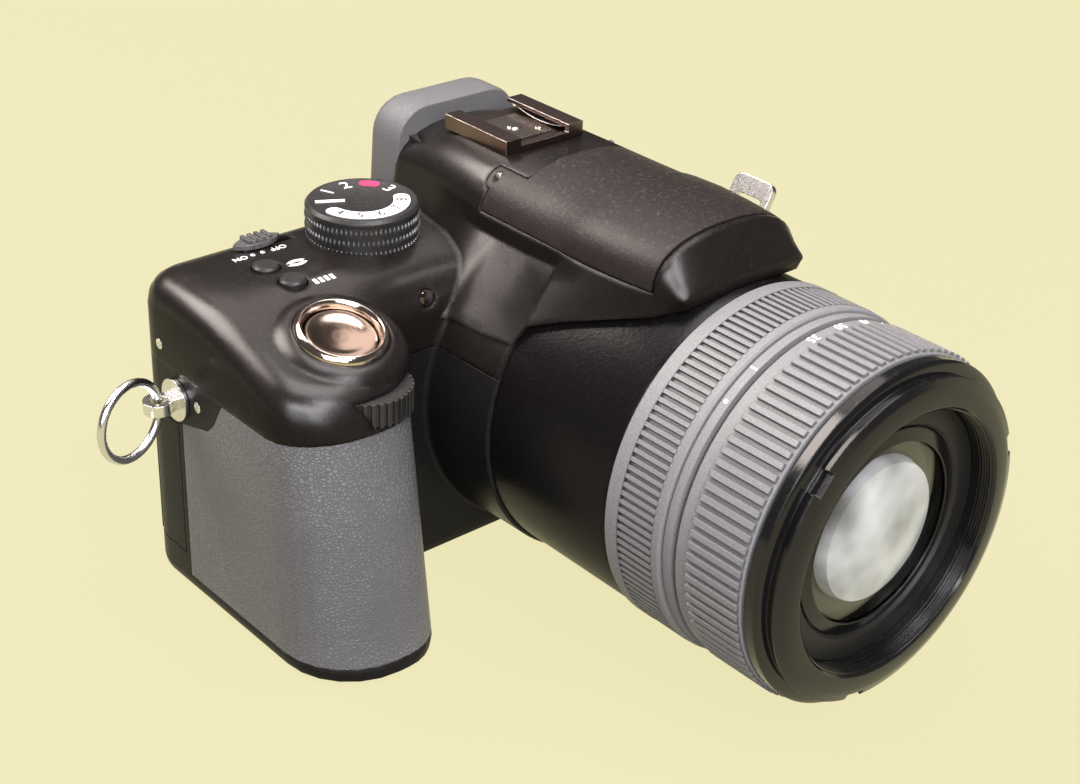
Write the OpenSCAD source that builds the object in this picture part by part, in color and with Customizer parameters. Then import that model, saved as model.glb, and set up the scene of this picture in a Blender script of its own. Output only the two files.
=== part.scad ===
// Bridge camera with a fixed zoom lens, built as separate pieces.
// The origin is the mouth of the tripod socket, +Z is up and the lens looks along -Y.

/* [Body] */
// Reach of the grip side from the lens axis
grip_side = 82.5; // [79:0.5:86]
// Reach of the far side from the lens axis
far_side = 58; // [56:0.5:62]
// Front face ahead of the socket
front_d = 16; // [15:0.5:18]
// Back face behind the socket
back_d = 21; // [20:0.5:23]
// Height of the top deck
deck_h = 67; // [66:0.5:69]
// Height of the seam under the top cover
split_h = 50; // [49:0.5:51]
// Thickness of the base cover
base_t = 3; // [2.8:0.1:3.4]
// Wall of the covers
wall = 2.2; // [1.8:0.1:2.4]
// Rounding of the top edges
edge_r = 6; // [5:0.5:7]
// Seam plane between the front and rear covers, behind the socket
seam_d = 2; // [1:0.5:3]

/* [Grip] */
// Reach of the grip ahead of the front face
grip_reach = 30; // [28:0.5:32]
// Width of the grip at its front
grip_w = 27.5; // [27:0.5:30]
// Set-back of the grip's front at the seam of the top cover
grip_lean = 9.5; // [6:0.5:10]
// Fall of the deck for each unit of length towards the front of the grip
deck_fall = 0.33; // [0.26:0.01:0.36]
// Thickness of the rubber skin
rubber_t = 1.4; // [1:0.1:1.6]

/* [Lens] */
// Height of the lens axis
lens_h = 37; // [36.8:0.2:38]
// Radius of the lens housing
housing_r = 36; // [35:0.2:36.4]
// Radius of the tube that the rings run on
tube_r = 32.4; // [32:0.1:32.8]
// Bore of the tube
tube_bore_r = 30; // [29.4:0.1:30.2]
// Front end of the lens, ahead of the socket
lens_front = 110; // [109:0.5:112]
// Start of the focus ring, ahead of the socket
focus_at = 68.6; // [67:0.2:69.4]
// Length of the focus ring
focus_l = 14.6; // [13:0.2:15]
// Length of the fixed index ring
index_l = 2; // [1.6:0.1:2.4]
// Outer radius over the ribs of the focus ring
focus_r = 36.5; // [36:0.1:36.8]
// Outer radius over the ribs of the zoom ring
zoom_r = 35.9; // [35.6:0.1:36.4]
// Ribs round the focus ring
focus_ribs = 132; // [60:6:160]
// Ribs round the zoom ring
zoom_ribs = 96; // [48:6:120]
// Wall radius of the filter thread
filter_r = 27.1; // [26.6:0.1:27.4]
// Radius of the front element
glass_r = 21.4; // [20:0.2:22]
// Travel of the zoom group
zoom_travel = 24; // [18:1:26]

/* [Hump] */
// Rise of the crest over the top of the lens housing
crest_rise = 11.5; // [11:0.1:12.5]
// Drop from the crest to the hot shoe's platform
platform_drop = 2.3; // [1.9:0.1:2.9]
// Half width of the hump at the lid's lower edge
hump_half = 20.5; // [19.5:0.5:21.5]
// Tip of the brow over the lens, ahead of the socket
brow_tip = 66; // [64:0.5:67]
// Front edge of the flash lid, ahead of the socket
lid_front = 59.2; // [57:0.2:60]
// Thickness of the flash lid
lid_t = 2; // [1.6:0.1:2.4]

/* [Controls] */
// Radius of the mode dial
mode_r = 11.8; // [11:0.1:12.4]
// Height of the mode dial
mode_h = 7; // [6:0.2:8]
// Tilt of the shutter button
shutter_tilt = 17; // [14:1:20]
// Outer radius of the shutter ring
shutter_r = 9.3; // [8.6:0.1:9.6]
// Radius of the command dials
command_r = 9; // [8.6:0.1:9.4]
// Radius of the small top buttons
top_button_r = 2.7; // [2.2:0.1:3]
// Radius of the rear buttons
rear_button_r = 3; // [2.4:0.1:3.2]

/* [Screen] */
// Width of the folding screen
screen_w = 62; // [56:1:64]
// Height of the folding screen
screen_h = 42; // [38:1:42]
// Thickness of the folding screen
screen_t = 7; // [6:0.2:7.6]

/* [Socket] */
// Wall radius of the tripod socket
socket_r = 2.6; // [2.4:0.1:3]
// Depth of the tripod socket
socket_l = 7; // [6:0.5:9]

/* [Hidden] */

// Clearance between pieces that move past each other
gap = 0.3;
// Clearance between fixed pieces that seat on each other
seat = 0.1;
// Radial clearance of a running shaft
run = 0.06;
// Overlap that lets a cut pass a face
cut = 1;
// Distance that is outside the part on every side
beyond = 200;
// Steps along a rounded corner, and the longest straight step of an outline
corner_steps = 6;
outline_step = 9;
// Sides of the round pieces
$fn = 96;

front = -front_d;
back = back_d;
seam = seam_d;
// Wall under the rubber and of the back, inside the outer face
shell = wall + rubber_t;

// Heights of the hump, from the crest down
crest_h = lens_h + housing_r + crest_rise;
platform_h = crest_h - platform_drop;
hump_low = crest_h - 10.5;
eyepiece_h = crest_h - 15.5;

// Lower edge of the body: inset and height of each ring
base_edge = [[1.6, 0], [0.5, 0.7], [0, 2.3]];
corner_far = 7;
corner_thumb = 9;
corner_palm = 16;
corner_finger = 11;
corner_valley = 10;
valley_out = 6;
// Where the deck starts to fall towards the front and the far side, and how softly it does
deck_break = 0;
far_break = 22;
far_fall = 0.3;
deck_soft = 8;
// A place inside the plan from which all of its edge is seen
deck_hub = [-grip_side + 20.5, -4];
deck_rings = [0.74, 0.48, 0.22];

function unit(v) = v / norm(v);
function turned(v, a) = [v[0] * cos(a) - v[1] * sin(a), v[0] * sin(a) + v[1] * cos(a)];

// Points of a corner rounded to radius r, between its two neighbours
function corner(before, at, after, r) =
  let (u = unit(before - at), v = unit(after - at), half = acos(u * v) / 2)
  let (centre = at + unit(u + v) * r / sin(half), start = at + u * r / tan(half) - centre)
  let (sweep = -sign(u[0] * v[1] - u[1] * v[0]) * (180 - 2 * half))
  [for (i = [0 : corner_steps]) centre + turned(start, sweep * i / corner_steps)];

// Outline with a radius at each corner, from a list of [corner, radius]
function rounded(corners) =
  let (n = len(corners))
  [for (i = [0 : n - 1])
    each corner(corners[(i + n - 1) % n][0], corners[i][0], corners[(i + 1) % n][0], corners[i][1])];

// The same outline with its long straight runs divided
function divided(points) =
  [for (i = [0 : len(points) - 1])
    let (a = points[i], b = points[(i + 1) % len(points)], n = ceil(norm(b - a) / outline_step))
    for (k = [0 : n - 1]) a + (b - a) * k / n];

// Plan of the body seen from above, with the grip at its left front
plan = divided(rounded([
  [[far_side, front], corner_far],
  [[far_side, back], corner_far],
  [[-grip_side, back], corner_thumb],
  [[-grip_side, front - grip_reach], corner_palm],
  [[-grip_side + grip_w, front - grip_reach], corner_finger],
  [[-grip_side + grip_w + valley_out, front], corner_valley]]));

function inward(i) =
  let (n = len(plan), t = unit(plan[(i + 1) % n] - plan[(i + n - 1) % n]))
  [-t[1], t[0]];
function inset_plan(d) = [for (i = [0 : len(plan) - 1]) plan[i] + d * inward(i)];

// Height of the deck, which falls towards the front of the grip and the far side
function soft_past(d) = sqrt(pow(max(0, d), 2) + pow(deck_soft, 2)) - deck_soft;
function deck(y, x = 0) =
  deck_h - deck_fall * soft_past(deck_break - y) - far_fall * soft_past(x - far_break);

// A plan point leaned back with its height, where it stands ahead of the front face
function leaned(p, z) =
  p[1] > front ? p : [p[0], front + (p[1] - front) * (1 - grip_lean / grip_reach * z / split_h)];

function wall_ring(d, z) = [for (p = inset_plan(d)) let (q = leaned(p, z)) [q[0], q[1], z]];
function edge_ring(d, drop) =
  [for (p = inset_plan(d))
    let (q = leaned(p, deck(p[1], p[0]) - drop))
    [q[0], q[1], deck(q[1], q[0]) - drop]];
function deck_ring(d, share) =
  [for (p = inset_plan(d))
    let (q = deck_hub + (leaned(p, deck(p[1], p[0])) - deck_hub) * share)
    [q[0], q[1], deck(q[1], q[0])]];

// Solid through rings of equal length, closed by a fan at each end
module loft(rings, first_tip, last_tip) {
  n = len(rings[0]);
  m = len(rings);
  points = concat([for (ring = rings) each ring], [first_tip, last_tip]);
  sides = [for (i = [0 : m - 2], j = [0 : n - 1])
    let (k = (j + 1) % n, a = i * n + j, b = a + n, c = i * n + n + k, d = i * n + k)
    each [[a, b, c], [a, c, d]]];
  first_fan = [for (j = [0 : n - 1]) [m * n, j, (j + 1) % n]];
  last_fan = [for (j = [0 : n - 1]) [m * n + 1, (m - 1) * n + (j + 1) % n, (m - 1) * n + j]];
  polyhedron(points, concat(sides, first_fan, last_fan));
}

// Whole body without the hump, or its skin taken off to a depth
module body_form(depth = 0) {
  round_steps = 4;
  lower = [for (e = base_edge) wall_ring(e[0] + depth, e[1])];
  upper = [for (i = [0 : round_steps])
    let (a = 90 * i / round_steps)
    edge_ring(depth + (edge_r - depth) * (1 - cos(a)), depth + (edge_r - depth) * (1 - sin(a)))];
  top = [for (share = deck_rings)
    [for (p = deck_ring(edge_r, share)) [p[0], p[1], p[2] - depth]]];
  loft(concat(lower, upper, top), [deck_hub[0], deck_hub[1], 0],
    [deck_hub[0], deck_hub[1], deck(deck_hub[1]) - depth]);
}

// Walls of the body up to the seam of the top cover, or their skin taken off to a depth
module wall_form(depth = 0) {
  top = split_h + 0.5;
  loft(concat([for (e = base_edge) wall_ring(e[0] + depth, e[1])], [wall_ring(depth, top)]),
    [deck_hub[0], deck_hub[1], 0], [deck_hub[0], deck_hub[1], top]);
}

// Space inside the covers, to a height
module cavity(z0, z1) {
  translate([0, 0, z0]) linear_extrude(z1 - z0) intersection() {
    polygon([for (p = inset_plan(shell)) leaned(p, split_h)]);
    polygon(inset_plan(shell));
  }
}

module block(x0, x1, y0, y1, z0, z1) {
  translate([x0, y0, z0]) cube([x1 - x0, y1 - y0, z1 - z0]);
}

// Places a piece on the lens axis, with its own +Z pointing forward
module on_lens() {
  translate([0, 0, lens_h]) rotate([90, 0, 0]) children();
}

// Ring round the lens axis from one distance to another
module lens_ring(outer, inner, s0, s1) {
  on_lens() difference() {
    translate([0, 0, s0]) cylinder(h = s1 - s0, r = outer);
    translate([0, 0, s0 - cut]) cylinder(h = s1 - s0 + 2 * cut, r = inner);
  }
}

// Flat outline of a ribbed ring
module rib_outline(r, ribs, depth) {
  share = 360 / ribs;
  polygon([for (i = [0 : ribs - 1], k = [0 : 3])
    let (a = share * (i + [0, 0.5, 0.62, 0.88][k]), q = r - [0, 0, depth, depth][k])
    [q * cos(a), q * sin(a)]]);
}

// Glass with two domed faces on the lens axis
module glass(r, s0, s1, dome0, dome1) {
  steps = 10;
  function dome(k) = 1 - k * k;
  on_lens() rotate_extrude() polygon(concat(
    [for (i = [0 : steps]) [r * i / steps, s0 - dome0 * dome(i / steps)]],
    [for (i = [steps : -1 : 0]) [r * i / steps, s1 + dome1 * dome(i / steps)]]));
}

// Flare of the front cover round the lens housing
flare_front = 35;
flare_lip = 0.8;
flare_cone = 0.4;
flare_r = 1.2;

// Hump over the lens: half profile from its lower edge to the crest, at a distance ahead
hump_power = 2.4;
hump_rear = -back_d;
// Distance ahead, half width at the lid edge, crest, half width below and its height
hump_stations = [
  [hump_rear, hump_half - 3.2, crest_h - 4, 21, lens_h + 23],
  [-14, hump_half - 2.6, crest_h - 2, 23, lens_h + 22],
  [-6, hump_half - 1.6, crest_h - 0.6, 25.5, lens_h + 21],
  [4, hump_half - 0.4, crest_h, 29, lens_h + 20],
  [front_d - 3, hump_half, crest_h, 34, lens_h + 19],
  [front_d, hump_half, crest_h, 34, lens_h + 19],
  [front_d + 1, hump_half, crest_h, 33, lens_h + 19],
  [front_d + 3, hump_half, crest_h, 32.2, lens_h + 19],
  [26, hump_half, crest_h, 32, lens_h + 19],
  [flare_front - 0.2, hump_half, crest_h, 31.4, lens_h + 19.8],
  [flare_front + 1.6, hump_half, crest_h, 29.4, lens_h + 24],
  [43.5, hump_half - 0.2, crest_h, 26.5, lens_h + 27],
  [51.5, hump_half - 0.8, crest_h - 0.1, 23.3, lens_h + 29.7],
  [lid_front - 1.2, hump_half - 1.6, crest_h - 0.4, 20.4, lens_h + 31.8],
  [brow_tip - 5.4, hump_half - 2, crest_h - 0.9, 19, lens_h + 32.6],
  [brow_tip - 4.6, hump_half - 2.4, crest_h - 2, 18.2, lens_h + 33],
  [brow_tip - 2.4, hump_half - 3.2, crest_h - 5.6, 16.4, lens_h + 34],
  [brow_tip - 0.4, hump_half - 4, crest_h - 8.2, 15, lens_h + 35],
  [brow_tip, hump_half - 4.6, crest_h - 8.9, 14.2, lens_h + 35.6]];
function power(v, e) = v <= 0 ? 0 : pow(v, e);
function hump_half_profile(s) =
  let (shoulder = min(hump_low, (s[2] + s[4]) / 2), steps = 8)
  concat(
    [for (k = [0 : 2]) [s[3] + (s[1] - s[3]) * k / 3, s[4] + (shoulder - s[4]) * k / 3]],
    [for (i = [0 : steps])
      let (a = 90 * i / steps)
      [s[1] * power(cos(a), 2 / hump_power),
       shoulder + (s[2] - shoulder) * power(sin(a), 2 / hump_power)]]);
function hump_ring(s, depth) =
  let (half = hump_half_profile([s[0], s[1] - depth, s[2] - depth, s[3] - depth, s[4]]))
  let (n = len(half))
  concat([for (p = half) [p[0], -s[0], p[1]]],
    [for (i = [n - 2 : -1 : 0]) [-half[i][0], -s[0], half[i][1]]]);
module hump_form(depth = 0) {
  first = hump_stations[0];
  last = hump_stations[len(hump_stations) - 1];
  loft([for (s = hump_stations) hump_ring(s, depth)],
    [0, -first[0], first[2] - 10], [0, -last[0] - 0.6, last[2] - 2]);
}

module lens_flare() {
  steps = 6;
  start = 78;
  lip = housing_r + flare_lip;
  foot = lip + flare_cone;
  on_lens() rotate_extrude() polygon(concat(
    [[housing_r - 4, front_d - wall], [foot + flare_r, front_d - wall]],
    [for (i = [0 : steps])
      let (a = start - start * i / steps)
      [foot + flare_r * (1 - cos(a)), front_d + flare_r - flare_r * sin(a)]],
    [[lip, flare_front - 0.5], [lip - 0.5, flare_front], [housing_r - 4, flare_front]]));
}

// Room for the lens in the covers
spigot_r = 33;
spigot_back = 13;
module lens_room() {
  on_lens() translate([0, 0, front_d]) cylinder(h = lens_front, r = housing_r + seat);
  on_lens() translate([0, 0, spigot_back - cut]) cylinder(h = front_d, r = spigot_r + seat);
}

// Edge of the rubber on the grip side, seen from that side
rubber_rear = 4;
rubber_side_top = 39.5;
rubber_inner = -grip_side + 30;
module rubber_zone(shrink) {
  translate([-grip_side - 10, 0, 0]) rotate([90, 0, 90])
    linear_extrude(rubber_inner + grip_side + 10 - shrink) polygon([
      [rubber_rear - shrink, base_t + 0.4 + shrink], [rubber_rear - shrink, rubber_side_top - shrink],
      [-5.6, rubber_side_top + 2.6 - shrink], [-8, rubber_side_top + 5 - shrink],
      [-11, split_h - 0.2 - shrink], [front - grip_reach - 10, split_h - 0.2 - shrink],
      [front - grip_reach - 10, base_t + 0.4 + shrink]]);
}
module rubber_layer(shrink) {
  difference() {
    rubber_zone(shrink);
    wall_form(rubber_t);
  }
}

module front_cover() {
  color("#1d1b1a") difference() {
    union() {
      intersection() {
        wall_form();
        block(-beyond, beyond, -beyond, seam, base_t, split_h);
      }
      intersection() {
        lens_flare();
        block(-beyond, beyond, -beyond, front + 0.4, 0, split_h);
      }
    }
    cavity(base_t - cut, split_h + cut);
    block(-beyond, beyond, front - seat, beyond, -cut, base_t);
    rubber_layer(0);
    lens_room();
    strap_lug_seats();
  }
}

// Folding screen and its hinge at the lower back edge
screen_x = -2;
screen_low = 8;
screen_back = back_d;
screen_axis_y = back_d + 0.4;
screen_axis_z = screen_low - 2.2;
screen_pin_r = 0.8;
screen_knuckle_r = 1.9;
screen_knuckle_w = 16;
screen_ear_w = 5;
module screen_recess() {
  block(screen_x - screen_w / 2 - gap, screen_x + screen_w / 2 + gap, screen_back - screen_t - gap,
    back + cut, screen_low - gap, screen_low + screen_h + gap);
}
module screen_knuckle_room() {
  translate([screen_x - screen_knuckle_w / 2 - gap, screen_axis_y, screen_axis_z]) rotate([0, 90, 0])
    cylinder(h = screen_knuckle_w + 2 * gap, r = screen_knuckle_r + gap);
  block(screen_x - screen_knuckle_w / 2 - gap, screen_x + screen_knuckle_w / 2 + gap,
    screen_axis_y - screen_knuckle_r - gap, back + 4, screen_axis_z - screen_knuckle_r - gap,
    screen_low);
}
module screen_ear(x) {
  translate([x, screen_axis_y, screen_axis_z]) rotate([0, 90, 0])
    cylinder(h = screen_ear_w, r = screen_knuckle_r);
  block(x, x + screen_ear_w, back - wall, screen_axis_y, screen_axis_z - screen_knuckle_r,
    screen_axis_z + screen_knuckle_r);
}
module screen_pin_room() {
  translate([screen_x - screen_knuckle_w / 2 - screen_ear_w + 1, screen_axis_y, screen_axis_z])
    rotate([0, 90, 0])
      cylinder(h = screen_knuckle_w + 2 * screen_ear_w - 2, r = screen_pin_r + run);
}

// Rear buttons: place on the back face as [x, z]
pad_x = -grip_side + 24.5;
pad_z = 32;
pad_step = 8.4;
rear_buttons = [
  [pad_x + 14, split_h - 6],
  [pad_x + 14, pad_z - 14],
  [pad_x, pad_z - 20],
  [pad_x, pad_z + pad_step],
  [pad_x, pad_z - pad_step],
  [pad_x + pad_step, pad_z],
  [pad_x - pad_step, pad_z],
  [pad_x, pad_z]];
button_proud = 0.9;
button_flange = 0.8;

// Button with a retaining flange behind the wall, along its own +Z
module button(r) {
  soft = 0.4;
  rotate_extrude() polygon([[0, -shell - 1.4], [r + button_flange, -shell - 1.4],
    [r + button_flange, -shell - gap], [r, -shell - gap], [r, button_proud - soft],
    [r - soft, button_proud - 0.1], [r * 0.5, button_proud], [0, button_proud - 0.05]]);
}
module rear_button(i) {
  translate([rear_buttons[i][0], back, rear_buttons[i][1]]) rotate([-90, 0, 0])
    button(rear_button_r);
}

// Doors let into the side walls
card_z0 = 8.5;
card_z1 = 38.5;
card_y0 = rubber_rear + 1.5;
card_y1 = 16;
card_axis = [-grip_side + 2, card_y1 + 0.4];
door_pin_r = 0.5;
door_knuckle_r = 0.9;
door_room = 0.5;
side_door_t = 2;
module card_zone(grow) {
  block(-grip_side - 5, -grip_side + side_door_t + grow, card_y0 - grow, card_y1 + grow,
    card_z0 - grow, card_z1 + grow);
}
port_z0 = 12;
port_z1 = 38;
port_y0 = seam_d + 3;
port_y1 = 13;
port_axis = [far_side - 0.9, port_y0 - 0.4];
port_swing = 120;
module port_zone(grow) {
  block(far_side - side_door_t - grow, far_side + 5, port_y0 - grow, port_y1 + grow,
    port_z0 - grow, port_z1 + grow);
}
// Bevel in the wall for the terminal cover swung right open
module port_swing_room() {
  translate([port_axis[0], port_axis[1], 0]) rotate([0, 0, -port_swing])
    translate([-port_axis[0], -port_axis[1], 0])
      block(port_axis[0], far_side + gap, port_y0 - gap, port_y1, port_z0 - 2 * gap,
        port_z1 + 2 * gap);
}
// Upright knuckle of a side door, with its pins above and below
module door_knuckle(at, z0, z1, grow) {
  translate([at[0], at[1], z0 - grow]) cylinder(h = z1 - z0 + 2 * grow, r = door_knuckle_r + grow);
}
module door_pins(at, z0, z1, grow) {
  translate([at[0], at[1], z0 - 1.6 - grow])
    cylinder(h = z1 - z0 + 3.2 + 2 * grow, r = door_pin_r + (grow > 0 ? run : 0));
}

// Card cage on the inside of the rear cover
card_l = 32;
card_w = 24;
card_t = 2.1;
card_at = [-grip_side + 2.8, 9, 12.2];
module card_cage() {
  rib = 1.4;
  rib_w = 4;
  for (z = [card_at[2] - rib - seat, card_at[2] + card_w + seat], x = [5, card_l - rib_w])
    block(card_at[0] + x, card_at[0] + x + rib_w, card_at[1] - 1, back - wall + 0.5, z, z + rib);
}

// Way of the card through the wall behind its door
module card_slot() {
  block(-grip_side, -grip_side + shell + cut, card_at[1] - gap, card_at[1] + card_t + gap,
    card_at[2] - gap, card_at[2] + card_w + gap);
}

// Jacks on the main board, and their window in the wall behind the terminal cover
board_y = 4;
board_t = 1.6;
jack_d = 7;
jack_h = 6;
jack_step = 8;
jack_count = 3;
jack_low = port_z0 + 2;
module port_window() {
  block(far_side - shell - cut, far_side, board_y + board_t - 0.2 - gap,
    board_y + board_t + jack_d + gap, jack_low - gap,
    jack_low + (jack_count - 1) * jack_step + jack_h + gap);
}

// Posts that carry the main board
board_low = 11;
board_posts = [[-26, 14], [40, 14], [40, 44], [-26, 44]];
module board_post(at) {
  translate([at[0], board_y + board_t + seat, at[1]]) rotate([-90, 0, 0])
    cylinder(h = back - wall - board_y - board_t, r = 2);
}

module rear_cover() {
  color("#1b1918") difference() {
    union() {
      difference() {
        intersection() {
          wall_form();
          block(-beyond, beyond, seam, beyond, base_t, split_h);
        }
        cavity(base_t - cut, split_h + cut);
      }
      block(screen_x - screen_w / 2 - wall, screen_x + screen_w / 2 + wall,
        screen_back - screen_t - gap - wall, back - 1, base_t, split_h);
      for (p = board_posts) board_post(p);
      card_cage();
      screen_ear(screen_x - screen_knuckle_w / 2 - gap - screen_ear_w);
      screen_ear(screen_x + screen_knuckle_w / 2 + gap);
    }
    screen_recess();
    screen_knuckle_room();
    screen_pin_room();
    for (b = rear_buttons)
      translate([b[0], back - shell - cut, b[1]]) rotate([-90, 0, 0])
        cylinder(h = shell + 3 * cut, r = rear_button_r + gap);
    card_zone(gap);
    door_knuckle(card_axis, card_z0, card_z1, door_room);
    door_pins(card_axis, card_z0, card_z1, gap);
    port_zone(gap);
    port_window();
    card_slot();
    door_knuckle(port_axis, port_z0, port_z1, door_room);
    door_pins(port_axis, port_z0, port_z1, gap);
    port_swing_room();
    rubber_layer(0);
    strap_lug_seats();
  }
}

// Flash lid and its hinge beside the shoe platform
lid_low = hump_low + gap;
platform_half = 13.5;
platform_front = 18;
platform_rear = 17;
lid_axis_y = -11.2;
lid_axis_z = crest_h - 4.1;
lid_heel_r = 2;
lid_pin_r = 0.8;
lid_swing = 0.7;
module lid_zone(grow) {
  difference() {
    union() {
      block(-beyond, beyond, -lid_front - (grow > 0 ? lid_swing : 0), lid_axis_y + grow,
        lid_low - grow, beyond);
      lid_pin(lid_heel_r + grow, beyond);
    }
    block(-platform_half - gap + grow, platform_half + gap - grow, -platform_front - gap + grow,
      beyond, -beyond, beyond + cut);
  }
}
module lid_pin(r, h) {
  translate([-h / 2, lid_axis_y, lid_axis_z]) rotate([0, 90, 0]) cylinder(h = h, r = r);
}
// Bay under the lid for the flash unit
flash_w = 24;
flash_h = 6.2;
flash_d = 9;
flash_front = lid_front - 1.5;
flash_top = crest_h - lid_t - 2.6;
bay_floor = flash_top - flash_h - 1.6;
module flash_bay() {
  block(-flash_w / 2 - 1.5, flash_w / 2 + 1.5, -lid_front - lid_swing, -platform_front - 3,
    bay_floor, beyond);
}

// Viewfinder inside the rear of the hump
evf_half = 13.5;
evf_front = 5;
evf_z0 = eyepiece_h - 11;
evf_z1 = eyepiece_h + 9.6;
module evf_room(grow) {
  block(-evf_half - grow, evf_half + grow, -evf_front - grow, back + cut, evf_z0 - grow, evf_z1 + grow);
}

mode_at = [-35.6, 7.8];
mode_stem_r = 4;
power_at = [-57, 14.6];
power_w = 11;
power_d = 4.6;
power_travel = 4;
power_h = 1.9;
top_buttons = [[-61.4, 4.6], [-60.4, -3.3]];
flash_button_at = [38, -4];
flash_button_z = deck(flash_button_at[1], flash_button_at[0]);
flash_button_r = 4;
shutter_at = [-grip_side + 20.5, -21];
shutter_rise = 1.4;
shutter_button_r = 7;
shutter_stem_r = 2.4;
shutter_depth = 5.4;
command_t = 5;
command_pin_r = 1.6;
front_dial_at = [-grip_side + 21, -28.6, split_h + 0.8];
rear_dial_at = [-grip_side + 23, back_d - command_r + 2.4, split_h + 4.4];
lamp_at = [-36.5, 60.6];
lamp_r = 1.8;
lamp_depth = 3;
diopter_at = [hump_half - 2.6, 13, eyepiece_h + 3.6];
diopter_r = 4;
diopter_t = 3;

// Places a piece on the shutter's tilted seat, its own +Z pointing out of the deck
module on_shutter() {
  translate([shutter_at[0], shutter_at[1], deck(shutter_at[1])]) rotate([shutter_tilt, 0, 0])
    children();
}
module shutter_collar() {
  on_shutter() rotate_extrude() polygon([[0, -6], [shutter_r + 5, -6], [shutter_r + 4.6, -2.4],
    [shutter_r + 3.6, -0.4], [shutter_r + 2.4, 0.7], [shutter_r + 1.2, 1.2],
    [shutter_r + 0.4, shutter_rise], [0, shutter_rise]]);
}
module shutter_room() {
  on_shutter() {
    translate([0, 0, -0.6]) cylinder(h = 10, r = shutter_r + seat);
    translate([0, 0, -2.4]) cylinder(h = 10, r = shutter_button_r + gap);
    translate([0, 0, -shutter_depth - gap]) cylinder(h = 20, r = shutter_stem_r + run);
  }
}
module command_room(at) {
  translate([at[0], at[1], at[2] - gap]) difference() {
    cylinder(h = command_t + 2 * gap, r = command_r + gap);
    translate([0, 0, -cut]) cylinder(h = command_t + 4 * cut, r = command_pin_r);
  }
}
module deck_well(at, r, z) {
  translate([at[0], at[1], z]) cylinder(h = 40, r = r);
}

module top_cover() {
  color("#211e1c") difference() {
    union() {
      difference() {
        intersection() {
          body_form();
          block(-beyond, beyond, -beyond, beyond, split_h, beyond);
        }
        intersection() {
          cavity(split_h - cut, deck_h - edge_r - wall);
          block(-grip_side + 34, far_break + 8, front, back, 0, beyond);
        }
      }
      hump_form();
      shutter_collar();
      intersection() {
        lens_flare();
        block(-beyond, beyond, -beyond, front + 4, split_h, lens_h + 20.5);
      }
    }
    lens_room();
    screen_recess();
    lid_zone(gap);
    flash_bay();
    evf_room(seat);
    lid_pin(lid_pin_r + run, 2 * platform_half + 2 * cut);
    block(-platform_half, platform_half, -platform_front, platform_rear, platform_h, beyond);
    shutter_room();
    command_room(front_dial_at);
    command_room(rear_dial_at);
    deck_well(mode_at, mode_stem_r + run, deck_h - 5.4);
    for (b = top_buttons) deck_well(b, top_button_r + gap, deck(b[1]) - 4);
    deck_well(flash_button_at, flash_button_r + gap, flash_button_z - 4);
    block(power_at[0] - power_w / 2 + 2 - gap, power_at[0] + power_w / 2 - 2 + power_travel + gap,
      power_at[1] - 1.2 - gap, power_at[1] + 1.2 + gap, deck_h - 5, beyond);
    translate([lamp_at[0], front + lamp_depth, lamp_at[1]]) rotate([90, 0, 0])
      cylinder(h = 20, r = lamp_r + seat);
    diopter_room();
  }
}

module base_cover() {
  color("#191817") difference() {
    intersection() {
      wall_form();
      block(-beyond, beyond, -beyond, beyond, -cut, base_t);
    }
    translate([0, 0, -cut]) cylinder(h = 10, r = socket_flange_r + seat);
    battery_opening(gap);
  }
}

module grip_rubber() {
  color("#3b3a39") intersection() {
    wall_form();
    rubber_layer(0.15);
  }
}

// Threaded insert in the base
socket_flange_r = 7;
module tripod_socket() {
  color("#a8a6a0") difference() {
    union() {
      cylinder(h = base_t, r = socket_flange_r);
      cylinder(h = socket_l + 2, r = socket_r + 2.4);
    }
    translate([0, 0, -cut]) cylinder(h = socket_l + cut, r = socket_r);
  }
}

// Lens
zoom_at = focus_at + focus_l + index_l + 4 * gap;
barrel_at = lens_front - 6.8;
tube_front = barrel_at - gap;
zoom_end = barrel_at - gap;
zoom_band = 3.2;
rib_depth = 0.6;
rib_root = 0.4;
rib_inset = 0.1;
barrel_tail = 5;
stop_room = 2.2;
module lens_housing() {
  color("#171514") difference() {
    on_lens() rotate_extrude() polygon([[tube_bore_r, spigot_back], [spigot_r, spigot_back],
      [spigot_r, front_d + seat], [housing_r, front_d + seat], [housing_r, focus_at - gap - 1],
      [housing_r - 0.6, focus_at - gap], [tube_r, focus_at - gap], [tube_r, tube_front],
      [tube_bore_r, tube_front]]);
    switch_room();
  }
}
module focus_ring() {
  color("#5b5a5a") on_lens() difference() {
    union() {
      translate([0, 0, focus_at]) rotate_extrude() polygon([[tube_r, 0], [focus_r - 0.5, 0],
        [focus_r, 0.5], [focus_r, 3.6], [focus_r - rib_depth, 3.6], [focus_r - rib_depth, focus_l - 2],
        [focus_r - 0.2, focus_l - 2], [focus_r - 0.2, focus_l - 0.4], [focus_r - 0.6, focus_l],
        [tube_r, focus_l]]);
      translate([0, 0, focus_at + 3.5]) linear_extrude(focus_l - 5.4)
        rib_outline(focus_r - rib_inset, focus_ribs, rib_depth + rib_root);
    }
    cylinder(h = lens_front, r = tube_r + run);
  }
}
module index_ring() {
  color("#4a494a")
    lens_ring(focus_r - 1, tube_r + 0.02, focus_at + focus_l + gap, focus_at + focus_l + gap + index_l);
}
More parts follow.
